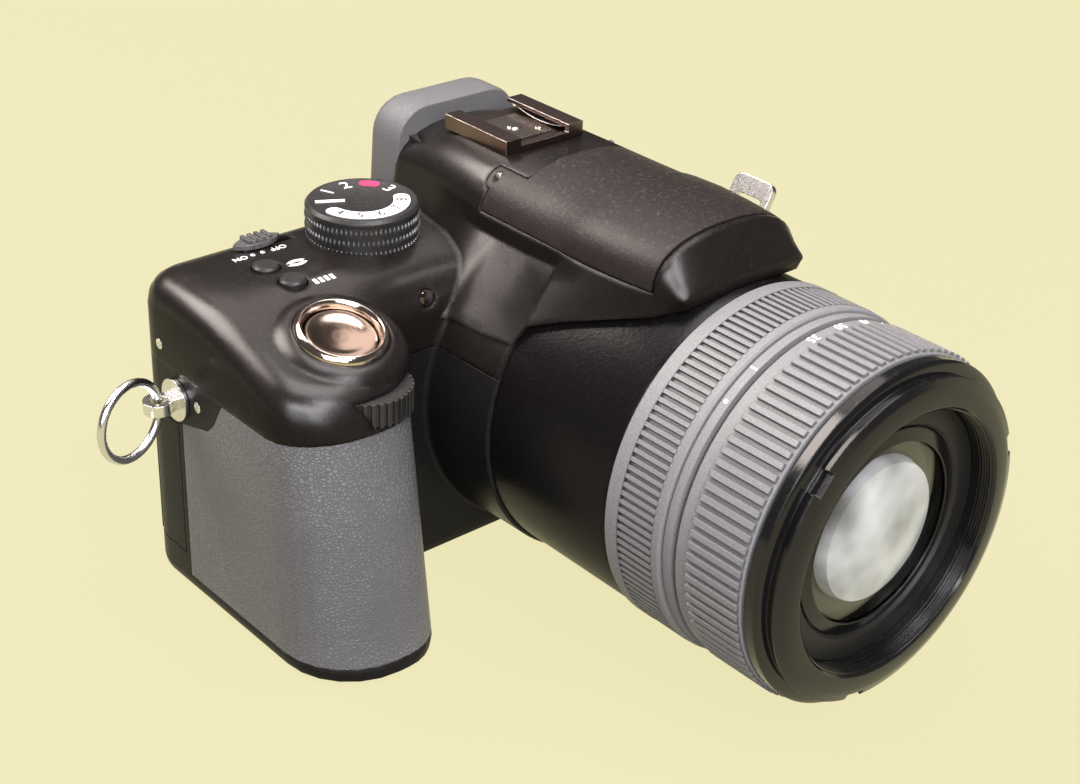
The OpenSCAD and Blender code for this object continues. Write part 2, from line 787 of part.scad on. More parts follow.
module zoom_ring() {
  l = zoom_end - zoom_at;
  color("#626161") on_lens() difference() {
    union() {
      translate([0, 0, zoom_at]) rotate_extrude() polygon([[tube_r, 0], [zoom_r - 0.9, 0],
        [zoom_r - 0.6, 0.3], [zoom_r - 0.6, zoom_band], [zoom_r - rib_depth, zoom_band + 0.2],
        [zoom_r - rib_depth, l - 0.3], [zoom_r - 0.9, l], [tube_r, l]]);
      translate([0, 0, zoom_at + zoom_band]) linear_extrude(l - zoom_band - 0.5)
        rib_outline(zoom_r, zoom_ribs, rib_depth + rib_root);
    }
    cylinder(h = lens_front, r = tube_r + run);
  }
}
thread_l = 2.6;
bezel_back = 6.6;
bezel_t = 1.5;
bezel_r = filter_r - 0.6;
sleeve_l = 4.6;
module front_barrel() {
  lip = zoom_r - 0.8;
  rim = housing_r - 2.9;
  color("#121112") difference() {
    on_lens() rotate_extrude() polygon([[tube_bore_r - seat, barrel_at - barrel_tail],
      [tube_bore_r - seat, barrel_at], [lip - 0.6, barrel_at], [lip, barrel_at + 0.6],
      [lip, barrel_at + 2.6], [lip - 0.8, barrel_at + 3.2], [rim - 0.7, barrel_at + 3.4],
      [rim - 0.7, lens_front - 1.9], [rim, lens_front - 1.6], [rim, lens_front - 1.1],
      [rim - 2.8, lens_front], [filter_r + 0.5, lens_front], [filter_r, lens_front - 0.5],
      [filter_r, lens_front - 0.5 - thread_l], [bezel_r + seat, lens_front - 0.5 - thread_l],
      [bezel_r + seat, lens_front - bezel_back], [bezel_r - 1.4, lens_front - bezel_back],
      [bezel_r - 1.4, barrel_at - barrel_tail]]);
    for (a = [18, 138, 258]) on_lens() rotate([0, 0, a]) hood_notch(rim);
  }
}
// Bayonet notch for a lens hood
module hood_notch(rim) {
  translate([rim - 1.5, -2.4, lens_front - 3.2]) cube([3, 4.8, 2.6]);
}
module front_bezel() {
  color("#0f0f10") on_lens() translate([0, 0, lens_front - bezel_back]) rotate_extrude() polygon([
    [glass_r + seat, -sleeve_l], [glass_r + 2, -sleeve_l], [glass_r + 2, 0], [bezel_r, 0],
    [bezel_r, bezel_t], [glass_r + 0.8, bezel_t], [glass_r + seat, bezel_t - 0.7]]);
}
module front_element() {
  color("#9fa39c", 0.6)
    glass(glass_r, lens_front - bezel_back - 3.4, lens_front - bezel_back + 0.4, 0.6, 2.9);
}
cell_r = tube_bore_r - run;
zoom_group_l = 8;
zoom_group_at = barrel_at - barrel_tail - stop_room - zoom_travel - zoom_group_l;
iris_at = 55;
iris_t = 4;
focus_group_l = 6;
focus_travel = 3;
focus_group_at = iris_at - 2 * focus_travel - focus_group_l;
rear_group_at = 26;
rear_group_l = 7;
// Lens cell with its glass
module lens_cell(r, s0, l, glass_radius) {
  lens_ring(r, glass_radius, s0, s0 + l);
  glass(glass_radius + 0.2, s0 + l * 0.35, s0 + l * 0.65, l * 0.25, l * 0.25);
}
module zoom_group() {
  color("#4c5a5e") lens_cell(cell_r, zoom_group_at, zoom_group_l, 19);
}
module iris_unit() {
  color("#2c2c2e") lens_ring(tube_bore_r - 0.02, 9, iris_at, iris_at + iris_t);
}
module focus_group() {
  color("#4c5a5e") lens_cell(cell_r, focus_group_at, focus_group_l, 15);
}
module rear_group() {
  color("#4c5a5e") lens_cell(tube_bore_r - 0.02, rear_group_at, rear_group_l, 13);
}

sensor_t = 2;
module sensor_board() {
  frame_back = spigot_back - seat - 3.4;
  color("#2f5e46") {
    intersection() {
      lens_ring(31, 24.5, frame_back - sensor_t / 2, spigot_back - seat);
      block(-beyond, beyond, -beyond, beyond, board_low, split_h + 5);
    }
    block(-30, 30, -frame_back, -frame_back + sensor_t, lens_h - 15, lens_h + 12);
    block(-5.4, 5.4, -frame_back - 1.2, -frame_back + sensor_t / 2, lens_h - 4.4, lens_h + 4.4);
  }
}
module main_board() {
  color("#2f5e46") {
    block(-40, far_side - 8, board_y, board_y + board_t, board_low, split_h - 1);
    for (i = [0 : jack_count - 1])
      block(far_side - 9, far_side - side_door_t - 2 * gap, board_y + board_t - 0.2,
        board_y + board_t + jack_d, jack_low + i * jack_step, jack_low + i * jack_step + jack_h);
  }
}

// Battery in the grip and its door in the base
battery_size = [14.5, 36, 42];
battery_at = [-grip_side + 7, -30.5, base_t + gap];
door_edge = 1.4;
door_axis_y = battery_at[1] + battery_size[1] + 3;
door_axis_z = base_t / 2;
door_x0 = battery_at[0] - door_edge;
door_x1 = battery_at[0] + battery_size[0] + door_edge;
door_front = battery_at[1] - door_edge;
base_pin_r = 0.6;
module battery_opening(grow) {
  block(door_x0 - grow, door_x1 + grow, door_front - grow, door_axis_y + base_t / 2 + grow,
    -cut, base_t + cut);
  translate([door_x0 - 1.2 - grow, door_axis_y, door_axis_z]) rotate([0, 90, 0])
    cylinder(h = door_x1 - door_x0 + 2.4 + 2 * grow, r = base_pin_r + run);
}
module battery() {
  color("#2b2b2d") translate(battery_at) cube(battery_size);
}
latch_w = 9;
latch_d = 4;
latch_travel = 2.5;
latch_at = [(door_x0 + door_x1) / 2 - latch_w / 2 - 1, door_front + 3];
module battery_door() {
  color("#191817") difference() {
    union() {
      block(door_x0, door_x1, door_front, door_axis_y, 0.1, base_t - 0.1);
      translate([door_x0, door_axis_y, door_axis_z]) rotate([0, 90, 0])
        cylinder(h = door_x1 - door_x0, r = base_t / 2 - 0.1);
      translate([door_x0 - 1.2, door_axis_y, door_axis_z]) rotate([0, 90, 0])
        cylinder(h = door_x1 - door_x0 + 2.4, r = base_pin_r);
    }
    block(latch_at[0] - gap, latch_at[0] + latch_w + latch_travel + gap, latch_at[1] - gap,
      latch_at[1] + latch_d + gap, -cut, 1.6);
  }
}
module battery_latch() {
  color("#3a3938") difference() {
    block(latch_at[0], latch_at[0] + latch_w, latch_at[1], latch_at[1] + latch_d, 0.2, 1.5);
    for (i = [0 : 3])
      block(latch_at[0] + 1.6 + i * 1.6, latch_at[0] + 2.2 + i * 1.6, latch_at[1] - cut,
        latch_at[1] + latch_d + cut, 0, 0.5);
  }
}
module memory_card() {
  notch = 3.2;
  color("#2a3550") translate([card_at[0], card_at[1] + card_t, card_at[2]]) rotate([90, 0, 0])
    linear_extrude(card_t)
      polygon([[0, 0], [card_l, 0], [card_l, card_w - notch], [card_l - notch, card_w], [0, card_w]]);
}
module card_door() {
  color("#1b1918") {
    intersection() {
      wall_form();
      card_zone(0);
    }
    door_knuckle(card_axis, card_z0, card_z1, 0);
    door_pins(card_axis, card_z0, card_z1, 0);
  }
}
module terminal_cover() {
  color("#222120") {
    intersection() {
      wall_form();
      port_zone(0);
    }
    door_knuckle(port_axis, port_z0, port_z1, 0);
    door_pins(port_axis, port_z0, port_z1, 0);
  }
}

// Flash
module flash_lid() {
  color("#2a2522") difference() {
    intersection() {
      hump_form();
      lid_zone(0);
    }
    difference() {
      hump_form(lid_t);
      block(-beyond, beyond, -platform_front - lid_t, beyond, 0, beyond);
    }
    lid_pin(lid_pin_r + run, beyond);
  }
}
module flash_hinge_pin() {
  color("#b9b7b2") lid_pin(lid_pin_r, 2 * platform_half + 4.4);
}
module flash_unit() {
  color("#d2d0c8") difference() {
    union() {
      block(-flash_w / 2, flash_w / 2, -flash_front, -flash_front + flash_d,
        flash_top - flash_h, flash_top);
      block(-flash_w / 2 + 2, flash_w / 2 - 2, -flash_front + flash_d - cut, -flash_front + flash_d + 12,
        flash_top - 2.4, flash_top);
    }
    rotate([90, 0, 90]) translate([-flash_front, flash_top - flash_h / 2, -flash_w / 2 + 1.2])
      linear_extrude(flash_w - 2.4)
        polygon([[-cut, 1.1 - flash_h / 2], [-cut, flash_h / 2 - 1.1], [5, 1.4], [5, -1.4]]);
  }
}
module flash_window() {
  color("#e8e8e0", 0.6) block(-flash_w / 2, flash_w / 2, -flash_front - 1.3, -flash_front - seat,
    flash_top - flash_h, flash_top);
}
module flash_button() {
  color("#26241f") translate([flash_button_at[0], flash_button_at[1], flash_button_z])
    plain_button(flash_button_r, 1.8);
}

// Hot shoe
shoe_w = 21;
shoe_l = 20;
shoe_slot_w = 18.8;
shoe_gap_w = 13;
shoe_y = 2.5;
shoe_t = 0.7;
shoe_slot_h = 2;
module shoe_rails() {
  z0 = platform_h + seat;
  color("#3a332f") difference() {
    block(-shoe_w / 2, shoe_w / 2, shoe_y - shoe_l / 2, shoe_y + shoe_l / 2,
      z0, z0 + shoe_t + shoe_slot_h + 0.5);
    block(-shoe_slot_w / 2, shoe_slot_w / 2, shoe_y - shoe_l / 2 + 1.2, shoe_y + shoe_l, z0 + shoe_t,
      z0 + shoe_t + shoe_slot_h - 0.3);
    block(-shoe_gap_w / 2, shoe_gap_w / 2, shoe_y - shoe_l / 2 + 1.2, shoe_y + shoe_l,
      z0 + shoe_t, beyond);
    block(-shoe_gap_w / 2, shoe_gap_w / 2, shoe_y - shoe_l, shoe_y, z0 + shoe_t + 0.8, beyond);
  }
}
module shoe_contacts() {
  z0 = platform_h + seat + shoe_t + 0.05;
  color("#c9c3b4") {
    block(-shoe_gap_w / 2 + 1, shoe_gap_w / 2 - 1, shoe_y - 6, shoe_y + 6, z0, z0 + 0.4);
    translate([0, shoe_y, z0]) cylinder(h = 0.7, r = 1.6);
    for (x = [-4, 4]) translate([x, shoe_y - 3.4, z0]) cylinder(h = 0.7, r = 0.9);
  }
}

// Viewfinder
eyecup_half = 17.6;
eyecup_low = eyepiece_h - 11.6;
eyecup_top = eyepiece_h + 15.6;
eyecup_back = back_d + 11;
eyecup_soft = 3;
eyepiece_r = 9;
function eyecup_ring(shrink, y) =
  [for (p = rounded([
      [[eyecup_half - shrink, eyecup_low + shrink], 6],
      [[eyecup_half - 1.4 - shrink, eyecup_top - shrink], 8 - shrink],
      [[-eyecup_half + 1.4 + shrink, eyecup_top - shrink], 8 - shrink],
      [[-eyecup_half + shrink, eyecup_low + shrink], 6]])) [p[0], y, p[1]]];
module eyecup() {
  soft_steps = 4;
  start = back + seat;
  color("#47484a") difference() {
    mirror([0, 1, 0]) loft(concat(
      [eyecup_ring(0.4, -start), eyecup_ring(0, -start - 1)],
      [for (i = [0 : soft_steps])
        let (a = 90 * i / soft_steps)
        eyecup_ring(eyecup_soft * (1 - cos(a)), -eyecup_back + eyecup_soft * (1 - sin(a)))]),
      [0, -start, eyepiece_h], [0, -eyecup_back, eyepiece_h]);
    translate([0, start - cut, eyepiece_h]) rotate([-90, 0, 0])
      cylinder(h = 4 + cut, r = eyepiece_r + seat);
    translate([0, start + 3.9, 0]) rotate([-90, 0, 0]) linear_extrude(20)
      translate([0, -eyepiece_h]) square([23, 17], center = true);
  }
}
module eyepiece_lens() {
  color("#8d9492", 0.6) translate([0, back + seat + 0.4, eyepiece_h]) rotate([-90, 0, 0])
    rotate_extrude() polygon([[0, 0], [eyepiece_r, 0], [eyepiece_r, 2.4], [6, 3.1], [3, 3.4], [0, 3.5]]);
}
module evf_module() {
  color("#2a2a2c") block(-evf_half, evf_half, -evf_front, back - seat, evf_z0, evf_z1);
}
module diopter_room() {
  translate([diopter_at[0] - gap, diopter_at[1], diopter_at[2]]) rotate([0, 90, 0])
    cylinder(h = 30, r = diopter_r + gap);
  translate([diopter_at[0] - 3, diopter_at[1], diopter_at[2]]) rotate([0, 90, 0])
    cylinder(h = 10, r = 1.2 + run);
}
module diopter_dial() {
  teeth = 24;
  color("#2a2928") translate(diopter_at) rotate([0, 90, 0]) {
    linear_extrude(diopter_t) rib_outline(diopter_r, teeth, 0.35);
    translate([0, 0, -2.6]) cylinder(h = 3, r = 1.2);
  }
}

// Top controls
module mode_dial() {
  teeth = 60;
  color("#242323") translate([mode_at[0], mode_at[1], deck_h]) {
    translate([0, 0, gap]) linear_extrude(mode_h - 1.4) rib_outline(mode_r, teeth, 0.45);
    translate([0, 0, mode_h - 1.2]) rotate_extrude()
      polygon([[0, 0], [mode_r - 0.3, 0], [mode_r - 0.3, 0.4], [mode_r - 1.2, 1.2], [0, 1.2]]);
    translate([0, 0, -5]) cylinder(h = 6, r = mode_stem_r);
  }
}
module power_switch() {
  ridges = 3;
  arc_r = (power_w * power_w + power_d * power_d) / 4 / power_d;
  color("#35332f") translate([power_at[0], power_at[1], deck_h]) {
    translate([-power_w / 2 + 2, -1.2, -4]) cube([power_w - 4, 2.4, 5]);
    intersection() {
      translate([0, arc_r - power_d / 2, gap]) cylinder(h = 1, r = arc_r);
      translate([0, power_d / 2 - arc_r, gap]) cylinder(h = 1, r = arc_r);
    }
    difference() {
      translate([-2.8, -1.7, gap]) cube([5.6, 3.4, power_h]);
      for (i = [0 : ridges - 1])
        translate([-2 + i * 1.6, -power_d, power_h - 0.2]) cube([0.8, 2 * power_d, 2]);
    }
  }
}
// Button in a blind well of the deck, along its own +Z
module plain_button(r, proud) {
  rotate_extrude() polygon([[0, -3], [r, -3], [r, proud - 0.4], [r - 0.4, proud], [0, proud]]);
}
module top_button(i) {
  at = top_buttons[i];
  color("#1f1d1b") translate([at[0], at[1], deck(at[1])]) plain_button(top_button_r, 0.8);
}
module top_button_rear() {
  top_button(0);
}
module top_button_front() {
  top_button(1);
}
module shutter_ring() {
  color("#c4b6a6") on_shutter() rotate_extrude() polygon([[shutter_button_r + gap, -0.6],
    [shutter_r, -0.6], [shutter_r, 1.4], [shutter_r - 0.5, 2.3], [shutter_r - 1.2, 2.7],
    [shutter_button_r + 0.7, 2.3], [shutter_button_r + gap, 1.4]]);
}
shutter_travel = 1.2;
module shutter_button() {
  color("#7a5c45") on_shutter() rotate_extrude() polygon([[0, -shutter_depth + shutter_travel],
    [shutter_stem_r, -shutter_depth + shutter_travel], [shutter_stem_r, -2.4 + shutter_travel + gap],
    [shutter_button_r, -2.4 + shutter_travel + gap], [shutter_button_r, 0.9], [shutter_button_r - 0.4, 1.2],
    [shutter_button_r - 1.2, 1.15], [4, 0.75], [2, 0.55], [0, 0.5]]);
}
module command_dial(at) {
  teeth = 36;
  translate(at) difference() {
    linear_extrude(command_t) rib_outline(command_r, teeth, 0.6);
    translate([0, 0, -cut]) cylinder(h = command_t + 2 * cut, r = command_pin_r + run);
  }
}
module front_dial() {
  color("#2c2b2a") command_dial(front_dial_at);
}
module rear_dial() {
  color("#2c2b2a") command_dial(rear_dial_at);
}

// Folding screen
module screen_panel() {
  color("#1c1b1b") difference() {
    union() {
      block(screen_x - screen_w / 2, screen_x + screen_w / 2, screen_back - screen_t, screen_back,
        screen_low, screen_low + screen_h);
      translate([screen_x - screen_knuckle_w / 2, screen_axis_y, screen_axis_z]) rotate([0, 90, 0])
        cylinder(h = screen_knuckle_w, r = screen_knuckle_r);
      block(screen_x - screen_knuckle_w / 2, screen_x + screen_knuckle_w / 2,
        screen_axis_y - screen_knuckle_r, screen_back, screen_axis_z, screen_low + cut);
    }
    translate([0, screen_axis_y, screen_axis_z]) rotate([0, 90, 0])
      cylinder(h = 2 * beyond, r = screen_pin_r + run, center = true);
    block(screen_x - screen_w / 2 + 5, screen_x + screen_w / 2 - 5, screen_back - screen_t - cut,
      screen_back - screen_t + 1.2, screen_low + 5, screen_low + screen_h - 5);
  }
}
module screen_glass() {
  color("#30383c") block(screen_x - screen_w / 2 + 5 + seat, screen_x + screen_w / 2 - 5 - seat,
    screen_back - screen_t + 0.1, screen_back - screen_t + 1.2 - 0.02, screen_low + 5 + seat,
    screen_low + screen_h - 5 - seat);
}
module screen_hinge_pin() {
  color("#b9b7b2") translate([screen_x - screen_knuckle_w / 2 - screen_ear_w + 1.2, screen_axis_y,
    screen_axis_z]) rotate([0, 90, 0])
      cylinder(h = screen_knuckle_w + 2 * screen_ear_w - 2.4, r = screen_pin_r);
}

module lock_button() {
  color("#242322") rear_button(0);
}
module view_button() {
  color("#242322") rear_button(1);
}
module delete_button() {
  color("#242322") rear_button(2);
}
module cursor_up() {
  color("#242322") rear_button(3);
}
module cursor_down() {
  color("#242322") rear_button(4);
}
module cursor_left() {
  color("#242322") rear_button(5);
}
module cursor_right() {
  color("#242322") rear_button(6);
}
module set_button() {
  color("#242322") rear_button(7);
}

// Focus switch on the far side of the lens housing
switch_at = 40;
switch_l = 10;
switch_h = 6;
switch_travel = 6;
switch_floor = housing_r - 1.8;
module switch_room() {
  block(switch_floor, beyond, -switch_at - switch_l - switch_travel - gap, -switch_at + gap,
    lens_h - switch_h / 2 - gap, lens_h + switch_h / 2 + gap);
}
module focus_switch() {
  ridges = 4;
  color("#2a2928") difference() {
    block(switch_floor + seat, housing_r + 1, -switch_at - switch_l, -switch_at,
      lens_h - switch_h / 2, lens_h + switch_h / 2);
    for (i = [0 : ridges - 1])
      block(housing_r + 0.5, beyond, -switch_at - 2.4 - i * 2, -switch_at - 1.6 - i * 2, 0, beyond);
  }
}

// Strap lugs, the round ring of the near one and the flat loop of the far one
near_lug = [-grip_side, 5, 44.5];
far_lug = [far_side, -6, 45];
lug_neck_r = 2.4;
lug_flange_r = 4.4;
eye_out = 4.4;
eye_r = 1.7;
eye_t = 2.4;
ring_r = 7.8;
wire_r = 0.9;
// Turn of the ring towards the front, and lean of the loop outward, both at rest
ring_turn = 17;
loop_lean = 30;
loop_half = 6;
loop_l = 14.4;
loop_eye = 9;
// Places a piece on a lug, its own +Z pointing out of the side wall
module on_lug(at) {
  translate(at) rotate([0, at[0] < 0 ? -90 : 90, 0]) children();
}
module strap_lug_seats() {
  for (at = [near_lug, far_lug])
    on_lug(at) translate([0, 0, -4]) cylinder(h = 8, r = lug_neck_r + seat);
}
module strap_lug(at, eye_turn) {
  on_lug(at) rotate([0, 0, eye_turn]) difference() {
    union() {
      translate([0, 0, -3.8]) cylinder(h = 4.8, r = lug_neck_r);
      translate([0, 0, seat]) cylinder(h = 0.9, r = lug_flange_r);
      translate([0, eye_t / 2, eye_out]) rotate([90, 0, 0]) cylinder(h = eye_t, r = eye_r + 1.3);
      translate([-2, -eye_t / 2, 0.2]) cube([4, eye_t, eye_out]);
    }
    translate([0, eye_t, eye_out]) rotate([90, 0, 0]) cylinder(h = 2 * eye_t, r = eye_r);
  }
}
module strap_lugs() {
  color("#8d8b86") {
    strap_lug(near_lug, 90);
    strap_lug(far_lug, 0);
  }
}
module strap_ring_near() {
  color("#c9c7c2") translate([near_lug[0] - eye_out, near_lug[1], near_lug[2]])
    rotate([0, 0, ring_turn]) translate([-ring_r, 0, 0]) rotate([90, 0, 0])
      rotate_extrude() translate([ring_r, 0]) circle(wire_r);
}
// Flat outline of the loop, with its eye bar at the origin
module loop_outline() {
  eye_half = loop_half - 2 * wire_r;
  eye_top = wire_r + loop_eye;
  difference() {
    polygon(rounded([[[-loop_half, -wire_r], 0.8], [[loop_half, -wire_r], 0.8],
      [[loop_half, loop_l], 2.4], [[-loop_half, loop_l], 2.4]]));
    polygon(rounded([[[-eye_half, wire_r], 0.8], [[eye_half, wire_r], 0.8],
      [[eye_half, eye_top], 1.2], [[-eye_half, eye_top], 1.2]]));
  }
}
module strap_ring_far() {
  color("#c9c7c2") translate([far_lug[0] + eye_out, far_lug[1], far_lug[2]])
    rotate([0, loop_lean, 0]) translate([-wire_r, 0, 0]) rotate([90, 0, 90])
      linear_extrude(2 * wire_r) loop_outline();
}
module af_lamp() {
  color("#3c2f28") translate([lamp_at[0], front + lamp_depth - seat, lamp_at[1]]) rotate([90, 0, 0])
    rotate_extrude() polygon([[0, 0], [lamp_r, 0], [lamp_r, 1.8], [lamp_r * 0.6, 2.2], [0, 2.3]]);
}

front_cover();
rear_cover();
top_cover();
base_cover();
grip_rubber();
tripod_socket();
lens_housing();
focus_ring();
index_ring();
zoom_ring();
front_barrel();
front_bezel();
front_element();
zoom_group();
iris_unit();
focus_group();
rear_group();
sensor_board();
main_board();
battery();
battery_door();
battery_latch();
memory_card();
card_door();
terminal_cover();
flash_lid();
flash_hinge_pin();
flash_unit();
flash_window();
flash_button();
shoe_rails();
shoe_contacts();
evf_module();
eyepiece_lens();
eyecup();
diopter_dial();
mode_dial();
power_switch();
top_button_rear();
top_button_front();
shutter_ring();
shutter_button();
front_dial();
rear_dial();
screen_panel();
screen_glass();
screen_hinge_pin();
lock_button();
view_button();
delete_button();
cursor_up();
cursor_down();
cursor_left();
cursor_right();
set_button();
focus_switch();
strap_lugs();
strap_ring_near();
strap_ring_far();
af_lamp();
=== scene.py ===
"""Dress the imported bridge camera: finishes, printed marks, knurls, threads, small screws, studio and view."""
from __future__ import annotations

import logging
import math
from dataclasses import dataclass
from enum import Enum
from typing import Sequence

import bpy
from mathutils import Matrix, Vector


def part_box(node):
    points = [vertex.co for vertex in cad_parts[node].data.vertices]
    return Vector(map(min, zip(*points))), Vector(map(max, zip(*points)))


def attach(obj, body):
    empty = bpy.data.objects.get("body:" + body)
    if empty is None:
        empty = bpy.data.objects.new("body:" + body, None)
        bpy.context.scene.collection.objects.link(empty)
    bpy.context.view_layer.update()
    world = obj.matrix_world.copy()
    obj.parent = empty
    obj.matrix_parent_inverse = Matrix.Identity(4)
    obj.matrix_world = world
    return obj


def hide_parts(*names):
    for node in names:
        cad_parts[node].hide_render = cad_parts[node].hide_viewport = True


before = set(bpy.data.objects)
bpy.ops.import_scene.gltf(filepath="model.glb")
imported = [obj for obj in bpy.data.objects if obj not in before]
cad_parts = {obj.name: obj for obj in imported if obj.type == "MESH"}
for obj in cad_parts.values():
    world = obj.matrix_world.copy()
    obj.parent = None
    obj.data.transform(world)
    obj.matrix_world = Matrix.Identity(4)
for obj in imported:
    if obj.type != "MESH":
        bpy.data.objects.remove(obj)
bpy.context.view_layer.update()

LOG = logging.getLogger("bridge_camera")
MM = 0.001
ROOT = "body"
INK_T = 0.08
DUST_ON_PLASTIC = (0.32, 0.30, 0.27)
DUST_ON_RUBBER = (0.30, 0.29, 0.27)
Colour = tuple[float, float, float]
Pair = tuple[float, float]
Place = tuple[float, float, float]
Socket = bpy.types.NodeSocket
Tree = bpy.types.NodeTree
Material = bpy.types.Material
FinishRows = tuple[tuple[str, str], ...]


def scaled(colour: Colour, share: float) -> Colour:
    """Give a colour made lighter or darker by a share."""
    return tuple(share * c for c in colour)


class Turn(Enum):
    """Frames that a shape is drawn in before it goes to its place."""

    UP = "up"
    LENS = "lens"
    LEFT = "left"
    DOWN = "down"


def place(turn: Turn, at: Sequence[float], spin: float = 0.0) -> Matrix:
    """Give the frame of a drawn shape in millimetres.

    Args:
        turn: where the shape's own Z axis points.
        at: the shape's origin.
        spin: degrees about the shape's own Z axis.

    Returns:
        The matrix from the shape's own axes to the part's.
    """
    tilt = {
        Turn.UP: Matrix.Identity(4),
        Turn.LENS: Matrix.Rotation(math.radians(90), 4, "X"),
        Turn.LEFT: Matrix.Rotation(math.radians(-90), 4, "Y"),
        Turn.DOWN: Matrix.Rotation(math.radians(180), 4, "X"),
    }[turn]
    return Matrix.Translation(Vector(at)) @ tilt @ Matrix.Rotation(math.radians(spin), 4, "Z")


# Shader groups


class GroupMaker:
    """Builds one shader node group with named inputs and outputs."""

    def __init__(self, name: str, inputs: dict[str, float], *outputs: str) -> None:
        """Start an empty group.

        Args:
            name: the group's name.
            inputs: value inputs with their defaults.
            outputs: names of value outputs, or Normal for a vector.
        """
        self.tree = bpy.data.node_groups.new(name, "ShaderNodeTree")
        for label, default in inputs.items():
            socket = self.tree.interface.new_socket(label, in_out="INPUT", socket_type="NodeSocketFloat")
            socket.default_value = default
        for label in outputs:
            kind = "NodeSocketVector" if label == "Normal" else "NodeSocketFloat"
            self.tree.interface.new_socket(label, in_out="OUTPUT", socket_type=kind)
        self.source = self.tree.nodes.new("NodeGroupInput")
        self.sink = self.tree.nodes.new("NodeGroupOutput")

    def node(self, kind: str, **settings: object) -> bpy.types.Node:
        """Add a node and set its properties."""
        made = self.tree.nodes.new(kind)
        for key, value in settings.items():
            setattr(made, key, value)
        return made

    def link(self, start: Socket, end: Socket) -> None:
        """Join two sockets."""
        self.tree.links.new(start, end)

    def given(self, name: str) -> Socket:
        """Give one of the group's inputs."""
        return self.source.outputs[name]

    def put(self, name: str, value: Socket) -> None:
        """Send a value to one of the group's outputs."""
        self.link(value, self.sink.inputs[name])

    def maths(self, operation: str, first: object, second: object, clamp: bool = False) -> Socket:
        """Add a maths node.

        Args:
            operation: Blender's name of the operation.
            first: a socket or a number.
            second: a socket or a number.
            clamp: keep the result from 0 to 1.

        Returns:
            The node's result.
        """
        made = self.node("ShaderNodeMath", operation=operation, use_clamp=clamp)
        for socket, value in zip(made.inputs, (first, second)):
            if isinstance(value, Socket):
                self.link(value, socket)
            else:
                socket.default_value = float(value)
        return made.outputs[0]

    def times(self, first: object, second: object, clamp: bool = False) -> Socket:
        """Multiply two values."""
        return self.maths("MULTIPLY", first, second, clamp)

    def plus(self, first: object, second: object, clamp: bool = False) -> Socket:
        """Add two values."""
        return self.maths("ADD", first, second, clamp)

    def minus(self, first: object, second: object) -> Socket:
        """Take the second value from the first."""
        return self.maths("SUBTRACT", first, second)

    def above(self, value: object, floor: float, gain: float) -> Socket:
        """Give a mask that rises by a gain once a value passes a floor."""
        return self.times(self.minus(value, floor), gain, clamp=True)

    def noise(self, scale: object, detail: float, roughness: float = 0.5) -> Socket:
        """Add noise in the object's own coordinates and give its value."""
        spot = self.node("ShaderNodeTexCoord")
        made = self.node("ShaderNodeTexNoise")
        self.link(spot.outputs["Object"], made.inputs["Vector"])
        if isinstance(scale, Socket):
            self.link(scale, made.inputs["Scale"])
        else:
            made.inputs["Scale"].default_value = float(scale)
        made.inputs["Detail"].default_value = detail
        made.inputs["Roughness"].default_value = roughness
        return made.outputs[0]


def moulded_grain() -> Tree:
    """Make the spark-eroded grain of moulded covers.

    Returns:
        A group with the grain's height and a shade mask.
    """
    maker = GroupMaker("moulded_grain", {"Scale": 1800.0, "Contrast": 1.0}, "Height", "Shade")
    coarse_scale, fine_share, coarse_share, middle = 0.37, 0.65, 0.35, 0.5
    scale = maker.given("Scale")
    fine = maker.noise(scale, 2.0, 0.55)
    coarse = maker.noise(maker.times(scale, coarse_scale), 2.0)
    both = maker.plus(maker.times(fine, fine_share), maker.times(coarse, coarse_share))
    centred = maker.times(maker.minus(both, middle), maker.given("Contrast"))
    height = maker.plus(centred, middle, clamp=True)
    maker.put("Height", height)
    maker.put("Shade", height)
    return maker.tree


def leather_grain() -> Tree:
    """Make the pebbled leather grain of the grip.

    Returns:
        A group with the grain's height and a mask of its valleys.
    """
    maker = GroupMaker("leather_grain", {"Scale": 900.0}, "Height", "Valley")
    bend_scale, bend_share = 260.0, 0.0016
    pebble_rise, pebble_share = 3.2, 0.75
    fine_scale, fine_share = 2.6, 0.25
    spot = maker.node("ShaderNodeTexCoord")
    bend = maker.node("ShaderNodeTexNoise")
    bend.inputs["Scale"].default_value = bend_scale
    maker.link(spot.outputs["Object"], bend.inputs["Vector"])
    shift = maker.node("ShaderNodeMix", data_type="VECTOR")
    shift.inputs["Factor"].default_value = bend_share
    maker.link(spot.outputs["Object"], shift.inputs["A"])
    maker.link(bend.outputs["Color"], shift.inputs["B"])
    cells = maker.node("ShaderNodeTexVoronoi", feature="DISTANCE_TO_EDGE")
    maker.link(shift.outputs["Result"], cells.inputs["Vector"])
    maker.link(maker.given("Scale"), cells.inputs["Scale"])
    pebble = maker.times(cells.outputs["Distance"], pebble_rise, clamp=True)
    fine = maker.noise(maker.times(maker.given("Scale"), fine_scale), 2.0)
    height = maker.plus(maker.times(pebble, pebble_share), maker.times(fine, fine_share))
    maker.put("Height", height)
    maker.put("Valley", maker.minus(1.0, pebble))
    return maker.tree


